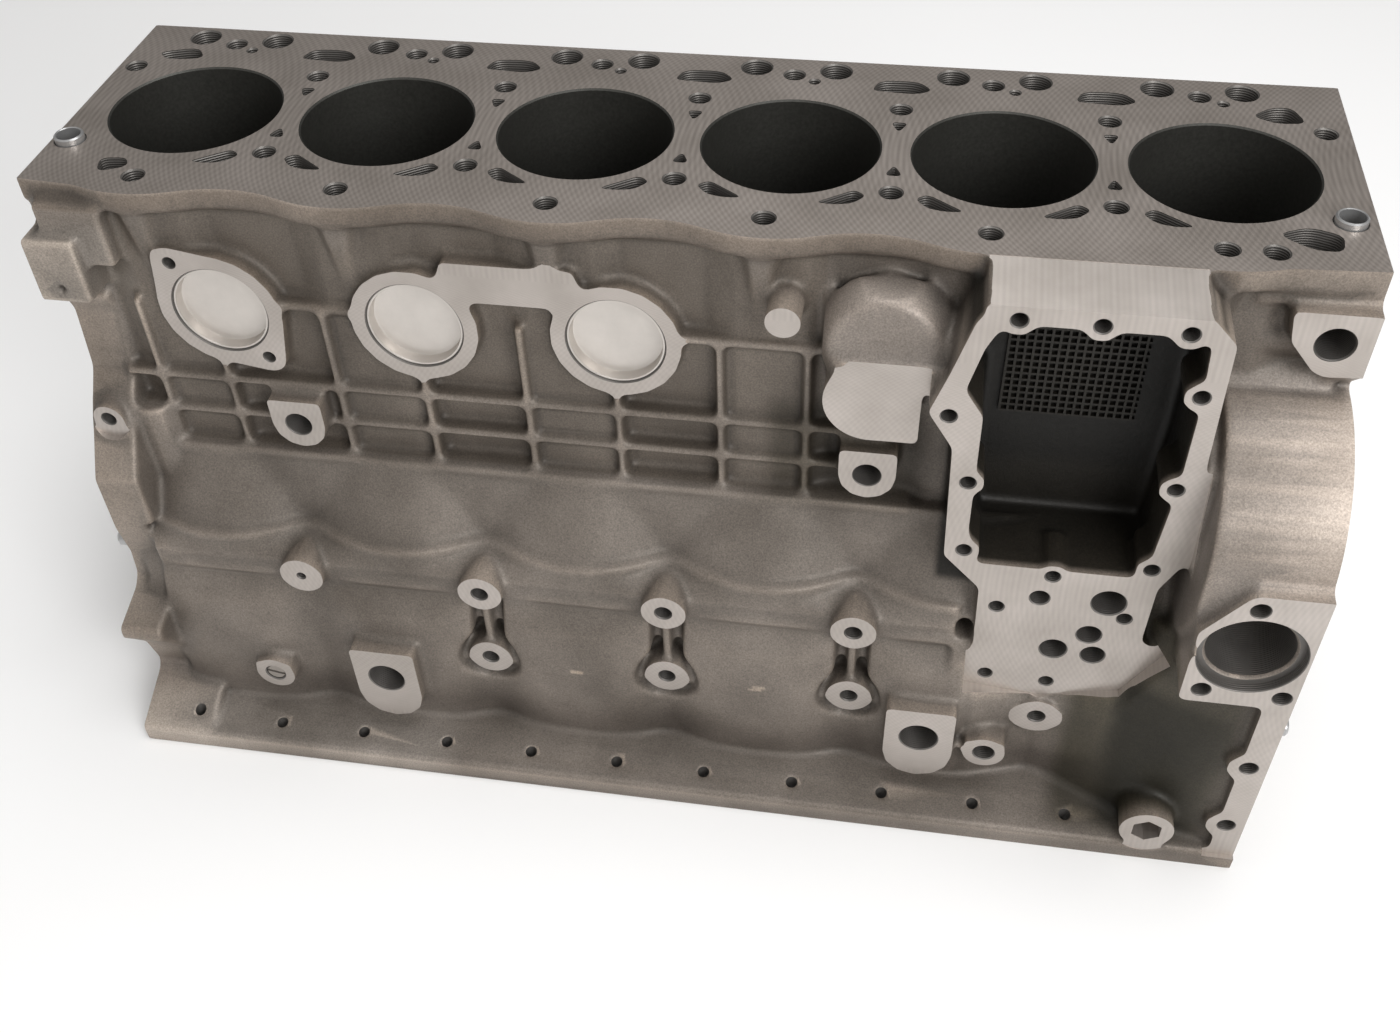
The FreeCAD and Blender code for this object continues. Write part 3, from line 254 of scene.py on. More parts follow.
def level_set(corners, triangles, quads):
    """A narrow band of distances from a closed surface, negative inside the metal."""
    transform = vdb.createLinearTransform(voxelSize=VOXEL)
    reach = (FILLET + ROUNDING) / VOXEL + 2
    return vdb.FloatGrid.createLevelSetFromPolygons(
        np.ascontiguousarray(corners, np.float32), np.ascontiguousarray(triangles, np.uint32),
        np.ascontiguousarray(quads, np.uint32), transform=transform, halfWidth=reach)


# Blocks of the casting that get round forms: spans along x, y and z.
CRANKCASE = ((-351.0, 255.0), (-153.0, -84.0), (-66.0, 144.0))
HOOD = ((84.0, 168.0), (-132.0, -78.0), (199.5, 304.5))


def shaped(grid, spans, form):
    """Applies a form to one block of the level set, where negative is metal."""
    lows = [round(low / VOXEL) for low, _ in spans]
    counts = [round((high - low) / VOXEL) for low, high in spans]
    field = np.zeros(counts, np.float32)
    grid.copyToArray(field, ijk=lows)
    x, y, z = ((np.arange(n) + low) * VOXEL for n, low in zip(counts, lows))
    far = float(field.max())
    edges = [np.minimum(v - v[0], v[-1] - v) for v in (x, y, z)]
    inside = np.minimum(np.minimum(edges[0][:, None, None], edges[1][None, :, None]), edges[2][None, None, :])
    made = form(field, x[:, None, None], y[None, :, None], z[None, None, :])
    made = np.where(inside > 2 * VOXEL, made, field)
    grid.copyFromArray(np.clip(made, -far, far).astype(np.float32), ijk=lows, tolerance=0.0)


def joined(a, b, blend=0.0):
    """Two forms as one, with a soft corner between them."""
    low = np.minimum(a, b)
    if blend:
        low = low - np.maximum(blend - abs(a - b), 0) ** 2 / (4 * blend)
    return low


def carved(a, b, blend=0.0):
    """Form a without form b."""
    return -joined(-a, b, blend)


def both(*forms):
    """What lies in all the forms."""
    out = forms[0]
    for form in forms[1:]:
        out = np.maximum(out, form)
    return out


def bar(x, z, place, radius, y, front, back):
    """A round bar along Y between two faces."""
    return both(np.hypot(x - place[0], z - place[1]) - radius, front - y, y - back)


def crankcase_wall(metal, x, y, z):
    """Round shoulders, ledge, bowed skirt, pockets round the webs, and round bosses."""
    bay = joined(abs((x - MAIN_X[0]) % 120 - 60), 54.0, 10.0)     # away from the bay's middle
    arch = (SHOULDER_R - np.sqrt(SHOULDER_R ** 2 - bay ** 2)) / 0.879
    shoulder = arch - 95.3 - SHOULDER_SLOPE * (SHOULDER_Z - z)
    barrel = both((shoulder - y) * 0.85, y - shoulder - 6, z - SHOULDER_Z, 80 - z)
    metal = joined(metal, barrel, 5.0)

    wave = arch - 126.5                                           # where the shelf meets the barrels
    rise = np.clip((z - LEDGE_EDGE_Z) / 14, 0, 1) ** 1.5
    lip = LEDGE_EDGE_Y + (wave - LEDGE_EDGE_Y) * rise
    belt = both((lip - y) * 0.9, z - LEDGE_Z, LEDGE_LOW_Z - z, y - lip - 14, x - BELT_END_X)
    profile = np.where(z > -5, 16 * ((z + 5) / 67) ** 2, 4.5 * ((z + 5) / 64) ** 2) - 135
    skirt = profile - 12 * (1 - (bay / 60) ** 3)
    metal = joined(metal, both((skirt - y) * 0.9, y - skirt - 6, z - 62, -66 - z, x - SKIRT_END_X))
    groove = both(y + 127 + 0.75 * (LEDGE_LOW_Z - z), z - LEDGE_LOW_Z, 38 - z, x - BELT_END_X)
    metal = carved(metal, groove, 3.0)
    shelf = both(y - lip, LEDGE_EDGE_Z - z, z - 86, x - BELT_END_X)
    metal = joined(carved(metal, shelf, 1.5), belt)
    bead = np.hypot((y - wave - 1.6) * 0.8, z - 84.2) - 3.0
    edge = np.hypot(y + 129.0, z - 70.2) - 1.7
    metal = joined(metal, both(np.minimum(bead, edge), x - BELT_END_X), 1.0)

    for place in UPPER_BOSSES[1:]:
        side = abs(x - place[0])
        room = joined(np.hypot(side, z - 5) - 20.5, both(side - 10.5, z - 57, 5 - z), 5.0)
        metal = carved(metal, both(room, y + 117 + 0.1 * (57 - z)), 5.0)
        web = both(side - 2.6, -135 - y, y + 105, z - 60, 5 - z)
        metal = joined(metal, web, 1.0)
    for place in UPPER_BOSSES:
        metal = joined(metal, bar(x, z, place, BOSS_R, y, BOSS_FACE_Y - ALLOWANCE, -100), 1.5)
    for place in LOWER_BOSSES:
        metal = joined(metal, bar(x, z, place, BOSS_R, y, BOSS_FACE_Y - ALLOWANCE, -112), 1.5)
    for y_face, x_face, z_face, radius, _ in SMALL_PORTS:
        metal = joined(metal, bar(x, z, (x_face, z_face), radius, y, y_face - ALLOWANCE, y_face + 40), 1.5)
    return metal


def hood_nose(metal, x, y, z):
    """The hood's dome, trimmed over the straight top of its pad, and the pad's round end."""
    pad_x, pad_z, half = HOOD_PAD
    dome_x, dome_z, top = pad_x + 5, pad_z + half, pad_z + half + 0.5
    dome = (np.hypot(x - dome_x, z - dome_z) / 37.0) ** 3 + (np.clip(-76 - y, 0, None) / 46.0) ** 3
    metal = joined(metal, both((np.cbrt(dome) - 1) * 26, 250 - z, y + 74), 3.0)
    metal = carved(metal, both(y + 114.5 - 0.15 * (z - top), top - z, x - 160, 84 - x), 3.0)
    square = both(abs(x - pad_x - half / 2) - half / 2, abs(z - pad_z) - half)
    pad = np.minimum(np.hypot(x - pad_x, z - pad_z) - (half + 0.2), square)
    return joined(metal, both(pad, HOOD_PAD_Y - ALLOWANCE - y, y + 85))


def rough_casting(corners, triangles):
    """The block with its machining allowance, inner corners filled to fillets, edges rounded."""
    parts = [(corners, [tuple(t) for t in triangles])]
    for axis, sign, place in MACHINED:
        parts.append(allowance(corners, on_plane(corners, triangles, axis, sign, place), axis, sign))
    for y, x, z, radius, _ in SPOT_FACES:
        form, faces = lathe([(-26, radius), (ALLOWANCE, radius)])
        parts.append(split(placed(form, Y, -1, (x, y, z)), faces))
    points, faces = gathered(parts)
    grid = level_set(points, np.array(faces), np.zeros((0, 4)))
    for spans, form in ((CRANKCASE, crankcase_wall), (HOOD, hood_nose)):
        shaped(grid, spans, form)
    for offset in (FILLET, -FILLET - ROUNDING):
        points, tris, quads = grid.convertToPolygons(offset, 0.0)
        grid = level_set(points, tris, quads)
    return grid.convertToPolygons(ROUNDING, 0.0)


def loops_of(triangles):
    """The closed edge loops round a set of triangles."""
    after = dict(border(triangles))
    loops = []
    while after:
        start, here = next(iter(after.items()))
        loop = [start]
        del after[start]
        while here != start and here in after:
            loop.append(here)
            here = after.pop(here)
        loops.append(loop)
    return loops


def drilled_hole(radius, depth):
    """A cutter for a round hole with a chamfered mouth at height 0."""
    rings = [(-depth, radius), (-CHAMFER, radius), (0, radius + CHAMFER), (3, radius + CHAMFER)]
    return lathe(rings, 96 if radius > 20 else 32)


def drill(flat, depth):
    """A cutter for one opening: round ones are true and chamfered, cast ones get soft corners."""
    centre = (flat.min(0) + flat.max(0)) / 2
    radii = np.hypot(*(flat - centre).T)
    sides = np.hypot(*(flat - np.roll(flat, 1, axis=0)).T)
    if len(flat) > 3 and np.ptp(radii) < 0.02 * radii.mean() and np.ptp(sides) < 0.05 * sides.mean():
        count = len(flat)
        radius = radii.mean() * (math.sqrt(math.cos(math.pi / count)) if count <= 20 else 1) + 0.1
        corners, faces = drilled_hole(radius, depth)
        corners[:, :2] += centre
        return corners, faces
    flat = grown(flat[::-1].copy(), 0.8)
    for _ in range(2):
        after = np.roll(flat, -1, axis=0)
        flat = np.stack([flat * 0.8 + after * 0.2, flat * 0.2 + after * 0.8], 1).reshape(-1, 2)
    return upright(flat, -depth, 3)


def openings(corners, triangles, axis, sign, place):
    """Cutters for the holes of one machined plane, read from the CAD faces."""
    face = on_plane(corners, triangles, axis, sign, place)
    u, v = (axis + 1) % 3, (axis + 2) % 3
    depth_at = (place - corners[:, axis]) * sign
    cutters = []
    for loop in loops_of(face):
        flat = corners[loop][:, [u, v]] * (1, sign)
        if not -WIDEST_HOLE < signed_area(flat) < 0:
            continue
        flat = plain(flat)
        touching = np.isin(triangles, loop).sum(1) >= 2
        depth = depth_at[triangles[touching]].max()
        if depth > 1:
            form, faces = drill(flat, depth)
            origin = [0.0, 0.0, 0.0]
            origin[axis] = place
            cutters.append((placed(form, axis, sign, origin), faces))
    return cutters


def signed_area(flat):
    after = np.roll(flat, -1, axis=0)
    return (flat[:, 0] * after[:, 1] - flat[:, 1] * after[:, 0]).sum() / 2


def plain(flat):
    """An outline without the corners that lie on its straight edges."""
    before, after = np.roll(flat, 1, axis=0), np.roll(flat, -1, axis=0)
    a, b = flat - before, after - flat
    turn = a[:, 0] * b[:, 1] - a[:, 1] * b[:, 0]
    return flat[abs(turn) > 1e-3 * np.hypot(*a.T) * np.hypot(*b.T)]


def grown(flat, reach):
    """An outline moved outwards; edges that would turn over are dropped."""
    while True:
        edges = np.roll(flat, -1, axis=0) - flat
        edges /= np.hypot(*edges.T)[:, None]
        out = np.stack([edges[:, 1], -edges[:, 0]], 1)
        before = np.roll(out, 1, axis=0)
        share = np.maximum(1 + (out * before).sum(1), 0.4)
        moved = flat + reach * (out + before) / share[:, None]
        along = ((np.roll(moved, -1, axis=0) - moved) * edges).sum(1)
        if along.min() > 0.05 or len(flat) < 5:
            return moved
        worst = int(along.argmin())
        after = (worst + 1) % len(flat)
        flat[worst] = (flat[worst] + flat[after]) / 2
        flat = np.delete(flat, after, axis=0)


def upright(flat, low, high):
    """A prism on a flat outline that runs anticlockwise."""
    count = len(flat)
    corners = [(a, b, h) for h in (low, high) for a, b in flat]
    faces = [tuple(range(count))[::-1], tuple(range(count, 2 * count))]
    for i in range(count):
        j = (i + 1) % count
        faces.append((i, j, j + count, i + count))
    return np.array(corners), faces


def outlines_of(corners, triangles, axis, sign, place):
    """The outlines of one machined face: drawn here for two, and read from the CAD faces otherwise."""
    if place == COOLER_FACE_Y:
        flat = [(z, -COOLER_X - dx) for dx, z in COOLER_FACE]
    elif place == HOOD_PAD_Y:
        x, z, half = HOOD_PAD
        turns = [math.radians(90 + 7.5 * i) for i in range(25)]
        flat = [(z + half * math.sin(t), -x - half * math.cos(t)) for t in turns]
        flat += [(z - half, -x - half), (z + half, -x - half)]
    else:
        loops = loops_of(on_plane(corners, triangles, axis, sign, place))
        u, v = (axis + 1) % 3, (axis + 2) % 3
        return [corners[loop][:, [u, v]] * (1, sign) for loop in loops]
    flat = np.array(flat)
    return [flat[::-1] if signed_area(flat) < 0 else flat]


def mill(corners, triangles, axis, sign, place):
    """The cutter that takes the allowance off one plane."""
    if axis != Y:
        spans = [(-CLEAR, CLEAR)] * 3
        spans[axis] = sorted((place, place + sign * TRAVEL))
        return box_faces(*spans)
    origin = [0.0, 0.0, 0.0]
    origin[axis] = place
    sweeps = []
    for flat in outlines_of(corners, triangles, axis, sign, place):
        for y, x, z, radius, _ in OPEN_HOLES:
            if y == place:
                flat = flat[np.hypot(flat[:, 0] - z, flat[:, 1] + x) > radius + 4]
        if len(flat) > 3 and signed_area(flat) > 20:
            form, faces = upright(grown(plain(plain(flat)), OVERSIZE), 0, TRAVEL)
            sweeps.append((placed(form, axis, sign, origin), faces))
    return gathered(sweeps)


def machine(obj, corners, triangles, milled, drilled):
    """Mills the faces, then cuts the holes."""
    for axis, sign, place in MACHINED:
        cut(obj, new_object("mill", *mill(corners, triangles, axis, sign, place), [milled[axis]]))
    sweeps, drills = [], []
    for y, x, z, radius, hole in SPOT_FACES:
        form, faces = lathe([(0, radius + OVERSIZE), (TRAVEL, radius + OVERSIZE)])
        sweeps.append((placed(form, Y, -1, (x, y, z)), faces))
        form, faces = drilled_hole(hole, 24)
        drills.append((placed(form, Y, -1, (x, y, z)), faces))
    cut(obj, new_object("spots", *gathered(sweeps), [milled[Y]]))
    for y, x, z, radius, depth in OPEN_HOLES:
        form, faces = drilled_hole(radius, depth)
        drills.append((placed(form, Y, -1, (x, y, z)), faces))
    # The bright slope above the cooler, a hair below the casting's own.
    ramp = [(-96.5, DECK_Z - 0.2), (COOLER_FACE_Y, DECK_Z - 4.6), (-150, DECK_Z - 6.5)]
    ramp += [(-150, DECK_Z + 20), (-96.5, DECK_Z + 20)]
    count = len(ramp)
    form = [(x, y, z) for x in (174, 284.2) for y, z in ramp]
    faces = [tuple(range(count)), tuple(range(count, 2 * count))[::-1]]
    faces += [(i, i + count, (i + 1) % count + count, (i + 1) % count) for i in range(count)]
    cut(obj, new_object("ramp", form, faces, [milled[Y]]))
    for axis, sign, place in MACHINED:
        found = openings(corners, triangles, axis, sign, place)
        if found:
            cut(obj, new_object("drill", *gathered(found), [drilled[axis]]))
    cut(obj, new_object("open_holes", *gathered(drills), [drilled[Y]]))
    cut(obj, new_object("register", *box_faces((-372, 375), (-76, 76), (RAIL_Z - 1, 0.0)), [milled[Z]]))
    bores = []
    for x in CYLINDER_X:
        rings = [(59, BORE_R), (DECK_Z - 1, BORE_R), (DECK_Z, BORE_R + 1), (DECK_Z + 3, BORE_R + 1)]
        form, faces = lathe(rings, 128)
        bores.append((form + (x, 0, 0), faces))
    cut(obj, new_object("bores", *gathered(bores), [HONED]))
    for name, axis, sign, origin, radius, low, high in (
            ("tunnel", X, 1, (0, 0, 0), MAIN_R, -CLEAR, CLEAR),
            ("inlet", Y, -1, (INLET_X, SIDE_FACE_Y, INLET_Z), 24.6, -77, 1),
            ("pump", X, 1, (FRONT_X, PUMP_Y, PUMP_Z), 58.1, -14, 1)):
        form, faces = lathe([(low, radius), (high, radius)], 96)
        cut(obj, new_object(name, placed(form, axis, sign, origin), faces, [drilled[axis]]))


def crisp_edges(obj, degrees):
    """Smooth shading with sharp edges at corners and where the finish changes."""
    mesh = obj.data
    mesh.shade_smooth()
    mesh.set_sharp_from_angle(angle=math.radians(degrees))
    form = bmesh.new()
    form.from_mesh(mesh)
    for edge in form.edges:
        if len(edge.link_faces) == 2:
            a, b = edge.link_faces
            if a.material_index != b.material_index:
                edge.smooth = False
    form.to_mesh(mesh)
    form.free()


# ---- materials ----

def material(name, color, roughness, metallic):
    """A new material, with its nodes, links and shader."""
    made = bpy.data.materials.new(name)
    made.use_nodes = True
    shader = made.node_tree.nodes["Principled BSDF"]
    shader.inputs["Base Color"].default_value = (*color, 1)
    shader.inputs["Roughness"].default_value = roughness
    shader.inputs["Metallic"].default_value = metallic
    return made, made.node_tree.nodes, made.node_tree.links, shader


def noise(nodes, links, place, scale, detail=4.0, rough=0.55):
    """Noise at a place of the object; scale is in turns a metre."""
    node = nodes.new("ShaderNodeTexNoise")
    node.inputs["Scale"].default_value = scale
    node.inputs["Detail"].default_value = detail
    node.inputs["Roughness"].default_value = rough
    links.new(place, node.inputs["Vector"])
    return node.outputs["Fac"]


def ramp_color(nodes, links, value, low, high, dark, light):
    """A colour from dark at low to light at high."""
    node = nodes.new("ShaderNodeValToRGB")
    node.color_ramp.elements[0].position = low
    node.color_ramp.elements[1].position = high
    node.color_ramp.elements[0].color = (*dark, 1)
    node.color_ramp.elements[1].color = (*light, 1)
    links.new(value, node.inputs["Fac"])
    return node.outputs["Color"]


def mixed(nodes, links, a, b, factor, blend="MIX"):
    node = nodes.new("ShaderNodeMix")
    node.data_type = "RGBA"
    node.blend_type = blend
    if isinstance(factor, float):
        node.inputs["Factor"].default_value = factor
    else:
        links.new(factor, node.inputs["Factor"])
    links.new(a, node.inputs[6])
    links.new(b, node.inputs[7])
    return node.outputs[2]


def bump(nodes, links, height, strength, distance, under=None):
    node = nodes.new("ShaderNodeBump")
    node.inputs["Strength"].default_value = strength
    node.inputs["Distance"].default_value = distance
    links.new(height, node.inputs["Height"])
    if under:
        links.new(under, node.inputs["Normal"])
    return node.outputs["Normal"]


def calc(nodes, links, operation, a, b=None):
    """Arithmetic on sockets or numbers."""
    node = nodes.new("ShaderNodeMath")
    node.operation = operation
    for socket, value in zip(node.inputs, (a, b)):
        if isinstance(value, (int, float)):
            socket.default_value = value
        elif value is not None:
            links.new(value, socket)
    return node.outputs[0]


def object_place(nodes):
    return nodes.new("ShaderNodeTexCoord").outputs["Object"]


OPEN = 999                    # a span's end that has no limit


def light_shade_and_scuff_tint(nodes, links, place, spans, soft, color):
    """A darker or lighter tint inside a box of the object, with soft edges; white outside. It carries painted
    shade and painted light as well as scuffs.
    """
    parts = nodes.new("ShaderNodeSeparateXYZ")
    links.new(place, parts.inputs[0])
    inside = None
    for axis, (low, high) in enumerate(spans):
        for edge, sign in ((low, 1.0), (high, -1.0)):
            if abs(edge) >= OPEN:
                continue
            past = calc(nodes, links, "SUBTRACT", parts.outputs[axis], edge * MM)
            away = calc(nodes, links, "MULTIPLY", past, sign)
            ramp = nodes.new("ShaderNodeMapRange")
            ramp.interpolation_type = "SMOOTHSTEP"
            ramp.inputs["From Min"].default_value = -soft * MM
            ramp.inputs["From Max"].default_value = soft * MM
            links.new(away, ramp.inputs["Value"])
            value = ramp.outputs["Result"]
            inside = value if inside is None else calc(nodes, links, "MULTIPLY", inside, value)
    return ramp_color(nodes, links, inside, 0.0, 1.0, (1, 1, 1), color)


# Tints of the casting: spans along x, y and z, how soft their edges are, and the tint. Most are painted light
# and
# shade: painted shade darkens the cooler opening and its back wall, the jacket wall between the ribs, the
# recessed front end below the pump, the deck's edge and the wall just under it, the wall under the hood and
# the skirt's underside above the rail; painted light brightens the pump shell, the hood's dome and the rear
# lug. The rear part of the rail's top is made lighter, and three small scuffs on the skirt are the casting's
# own wear.
PAINTED_SHADE_LIGHT_AND_SCUFFS = [(((166, 293), (-131, OPEN), (100, 312)), 3.0, (0.10, 0.10, 0.088)),
          (((166, 293), (-90, OPEN), (170, 312)), 8.0, (0.45, 0.45, 0.45)),
          (((-340, 90), (-90.6, OPEN), (136, 310)), 1.5, (0.85, 0.83, 0.80)),
          (((286, 357), (-171, OPEN), (-64, 96)), 9.0, (0.34, 0.34, 0.28)),
          (((256, 350), (-171, OPEN), (-64, 52)), 9.0, (0.34, 0.34, 0.28)),
          (((-400, 300), (-103, -70), (309, 321.6)), 1.5, (0.72, 0.70, 0.68)),
          (((306, 400), (-176, OPEN), (84, 250)), 8.0, (1.4, 1.42, 1.46)),
          (((86, 158), (-130, -84), (262, 300)), 6.0, (1.55, 1.58, 1.64)),
          (((-400, -322), (-120, OPEN), (245, 300)), 6.0, (1.15, 1.18, 1.2)),
          (((-380, -150), (-200, -140), (-80, -50)), 20.0, (1.5, 1.55, 1.6)),
          (((60, 150), (-101, OPEN), (136, 205)), 9.0, (0.45, 0.44, 0.40)),
          (((-380, 320), (-146, OPEN), (-52, -30)), 14.0, (0.7, 0.69, 0.7)),
          (((-63.5, -55), (-150, -140), (6, 9)), 1.2, (2.4, 2.3, 2.15)),
          (((55, 64), (-150, -140), (8.5, 10)), 1.0, (2.2, 2.1, 2.0)),
          (((58, 66), (-150, -140), (10.5, 13)), 1.2, (2.0, 1.95, 1.85))]


def cast_iron(name, dark, light, light_shade_and_scuffs=()):
    """Sand-cast iron: grey-brown, grainy, with blotches; convex edges lighter, partly wear and partly painted
    highlight, concave corners darker as painted shade, and boxed tints of painted shade, painted light and
    scuffs.
    """
    made, nodes, links, shader = material(name, light, 0.6, 0.35)
    place = object_place(nodes)
    blotch = noise(nodes, links, place, 14, 5)
    grain = noise(nodes, links, place, 900, 3, 0.7)
    pits = noise(nodes, links, place, 330, 4, 0.6)
    base = ramp_color(nodes, links, blotch, 0.3, 0.72, dark, light)
    speck = ramp_color(nodes, links, grain, 0.3, 0.75, (0.62, 0.61, 0.59), (1.25, 1.22, 1.18))
    color = mixed(nodes, links, base, speck, 1.0, "MULTIPLY")
    # Pointiness: convex edges lighter (partly wear, partly painted highlight), concave corners darker
    # (painted shade).
    edge = nodes.new("ShaderNodeNewGeometry").outputs["Pointiness"]
    edge_wear_highlight_crease_shade = ramp_color(nodes, links, edge, 0.44, 0.56, (0.3, 0.29, 0.28), (1.9, 1.85, 1.8))
    middle = edge_wear_highlight_crease_shade.node.color_ramp.elements.new(0.5)
    middle.color = (1, 1, 1, 1)
    color = mixed(nodes, links, color, edge_wear_highlight_crease_shade, 1.0, "MULTIPLY")
    # Boxed tints: painted shade in recesses and under overhangs, painted light on lit parts, and real scuffs.
    for spans, soft, tint in light_shade_and_scuffs:
        color = mixed(nodes, links, color, light_shade_and_scuff_tint(nodes, links, place, spans, soft, tint), 1.0, "MULTIPLY")
    links.new(color, shader.inputs["Base Color"])
    rough = nodes.new("ShaderNodeMapRange")
    rough.inputs["To Min"].default_value = 0.40
    rough.inputs["To Max"].default_value = 0.64
    links.new(pits, rough.inputs["Value"])
    links.new(rough.outputs["Result"], shader.inputs["Roughness"])
    low = bump(nodes, links, pits, 0.4, 0.0005)
    normal = bump(nodes, links, grain, 0.3, 0.0003, low)
    links.new(normal, shader.inputs["Normal"])
    return made


CUTTER_R = 0.16               # of the milling cutter, in metres
MARK_PITCHES = (0.0031, 0.0047)
THREAD_PITCH = 0.0015


def milled_iron(name, axis, color, contrast):
    """A face milled with a large cutter: crossing arcs of fine marks."""
    made, nodes, links, shader = material(name, color, 0.4, 0.75)
    place = object_place(nodes)
    parts = nodes.new("ShaderNodeSeparateXYZ")
    links.new(place, parts.inputs[0])
    along = parts.outputs[1] if axis == X else parts.outputs[0]
    across = parts.outputs[1] if axis == Z else parts.outputs[2]
    middle = 0.0 if axis == Z else 0.12
    offset = calc(nodes, links, "SUBTRACT", across, middle)
    square = calc(nodes, links, "MULTIPLY", offset, offset)
    inside = calc(nodes, links, "SUBTRACT", CUTTER_R * CUTTER_R, square)
    sag = calc(nodes, links, "SQRT", calc(nodes, links, "MAXIMUM", inside, 0.0))
    waves = []
    for sign, pitch in (("ADD", MARK_PITCHES[0]), ("SUBTRACT", MARK_PITCHES[1])):
        phase = calc(nodes, links, "MULTIPLY", calc(nodes, links, sign, along, sag), 2 * math.pi / pitch)
        waves.append(calc(nodes, links, "SINE", phase))
    marks = calc(nodes, links, "ADD", waves[0], calc(nodes, links, "MULTIPLY", waves[1], 0.7))
    scaled = calc(nodes, links, "MULTIPLY", marks, 0.25)
    shade = ramp_color(nodes, links, calc(nodes, links, "ADD", scaled, 0.5), 0.1, 0.9,
                       tuple(c * (1 - contrast) for c in color), tuple(c * (1 + contrast) for c in color))
    cloud = noise(nodes, links, place, 22, 4)
    tint = ramp_color(nodes, links, cloud, 0.3, 0.7, (0.85, 0.83, 0.8), (1.08, 1.06, 1.04))
    links.new(mixed(nodes, links, shade, tint, 1.0, "MULTIPLY"), shader.inputs["Base Color"])
    fine = noise(nodes, links, place, 1400, 2)
    normal = bump(nodes, links, marks, 0.4 * contrast, 0.0002)
    links.new(bump(nodes, links, fine, 0.12, 0.0002, normal), shader.inputs["Normal"])
    return made


def drilled_iron(name, axis, color):
    """The wall of a hole: fine turns of thread or tool marks along its axis."""
    made, nodes, links, shader = material(name, color, 0.45, 0.6)
    place = object_place(nodes)
    parts = nodes.new("ShaderNodeSeparateXYZ")
    links.new(place, parts.inputs[0])
    phase = calc(nodes, links, "MULTIPLY", parts.outputs[axis], 2 * math.pi / THREAD_PITCH)
    turns = calc(nodes, links, "SINE", phase)
    cloud = noise(nodes, links, place, 60, 3)
    base = ramp_color(nodes, links, cloud, 0.3, 0.7, tuple(c * 0.8 for c in color), color)
    links.new(base, shader.inputs["Base Color"])
    links.new(bump(nodes, links, turns, 0.5, 0.0003), shader.inputs["Normal"])
    return made


def honed_iron(name, color):
    """A cylinder wall: dark, with the crossing scratches of honing."""
    made, nodes, links, shader = material(name, color, 0.42, 0.5)
    place = object_place(nodes)
    parts = nodes.new("ShaderNodeSeparateXYZ")
    links.new(place, parts.inputs[0])
    fine = noise(nodes, links, place, 500, 3)
    base = ramp_color(nodes, links, fine, 0.3, 0.7, tuple(c * 0.7 for c in color), color)
    links.new(base, shader.inputs["Base Color"])
    links.new(bump(nodes, links, fine, 0.15, 0.0002), shader.inputs["Normal"])
    return made


def sheet_steel(name, color, roughness):
    """Pale pressed or turned steel with a faint cloud."""
    made, nodes, links, shader = material(name, color, roughness, 0.7)
    place = object_place(nodes)
    cloud = noise(nodes, links, place, 45, 5, 0.6)
    base = ramp_color(nodes, links, cloud, 0.3, 0.75, tuple(c * 0.86 for c in color), color)
    links.new(base, shader.inputs["Base Color"])
    fine = noise(nodes, links, place, 1200, 2)
    links.new(bump(nodes, links, fine, 0.1, 0.0002), shader.inputs["Normal"])
    return made


# Both cast materials carry painted highlight on convex edges and painted shade in concave corners; the
# casting also takes the boxed painted shade and painted light.
CAST = cast_iron("casting", (0.118, 0.102, 0.088), (0.215, 0.19, 0.169), PAINTED_SHADE_LIGHT_AND_SCUFFS)
CAP_CAST = cast_iron("cap_iron", (0.10, 0.095, 0.088), (0.19, 0.18, 0.165))
MILLED = [milled_iron("milled_" + "xyz"[axis], axis, color, contrast) for axis, color, contrast in
          ((X, (0.40, 0.37, 0.34), 0.12), (Y, (0.44, 0.408, 0.385), 0.05), (Z, (0.37, 0.335, 0.31), 0.15))]
DRILLED = [drilled_iron("drilled_" + "xyz"[axis], axis, (0.16, 0.15, 0.14)) for axis in (X, Y, Z)]
HONED = honed_iron("honed", (0.055, 0.054, 0.048))
PLUG_STEEL = sheet_steel("plug_steel", (0.62, 0.58, 0.54), 0.38)
BOLT_STEEL = sheet_steel("bolt_steel", (0.10, 0.10, 0.105), 0.42)
BUSH_METAL = sheet_steel("bush_metal", (0.45, 0.42, 0.38), 0.3)
FITTING = sheet_steel("fitting_steel", (0.33, 0.30, 0.27), 0.42)
DOWEL_STEEL = sheet_steel("dowel_steel", (0.45, 0.45, 0.45), 0.3)


# ---- the block ----

def cylinder_block():
    """The whole casting: rough form, smoothed and thinned, then machined."""
    corners, triangles = cad_mesh("cylinder_block")
    points, tris, quads = rough_casting(corners, triangles)
    faces = [tuple(q[::-1]) for q in quads] + [tuple(t[::-1]) for t in tris]
    obj = new_object("cast_block", points, faces, [CAST])
    smooth = obj.modifiers.new("smooth", "SMOOTH")
    smooth.factor = 0.5
    smooth.iterations = 3
    thin = obj.modifiers.new("thin", "DECIMATE")
    thin.ratio = min(1.0, CASTING_TRIANGLES / (2 * len(quads) + len(tris)))
    apply_modifiers(obj)
    obj.data.materials.clear()
    obj.data.materials.append(CAST)
    machine(obj, corners, triangles, MILLED, DRILLED)
    crisp_edges(obj, 34)
    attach(obj, "root")
    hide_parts("cylinder_block")
    return obj


# ---- the pieces fitted to it ----

def piece(name, corners, faces, finish, slot_name, nodes, degrees=35):
    """A separate piece that stands for its CAD nodes."""
    obj = new_object(name, corners, faces, [finish])
    crisp_edges(obj, degrees)
    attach(obj, "root")
    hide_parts(*nodes)
    return obj


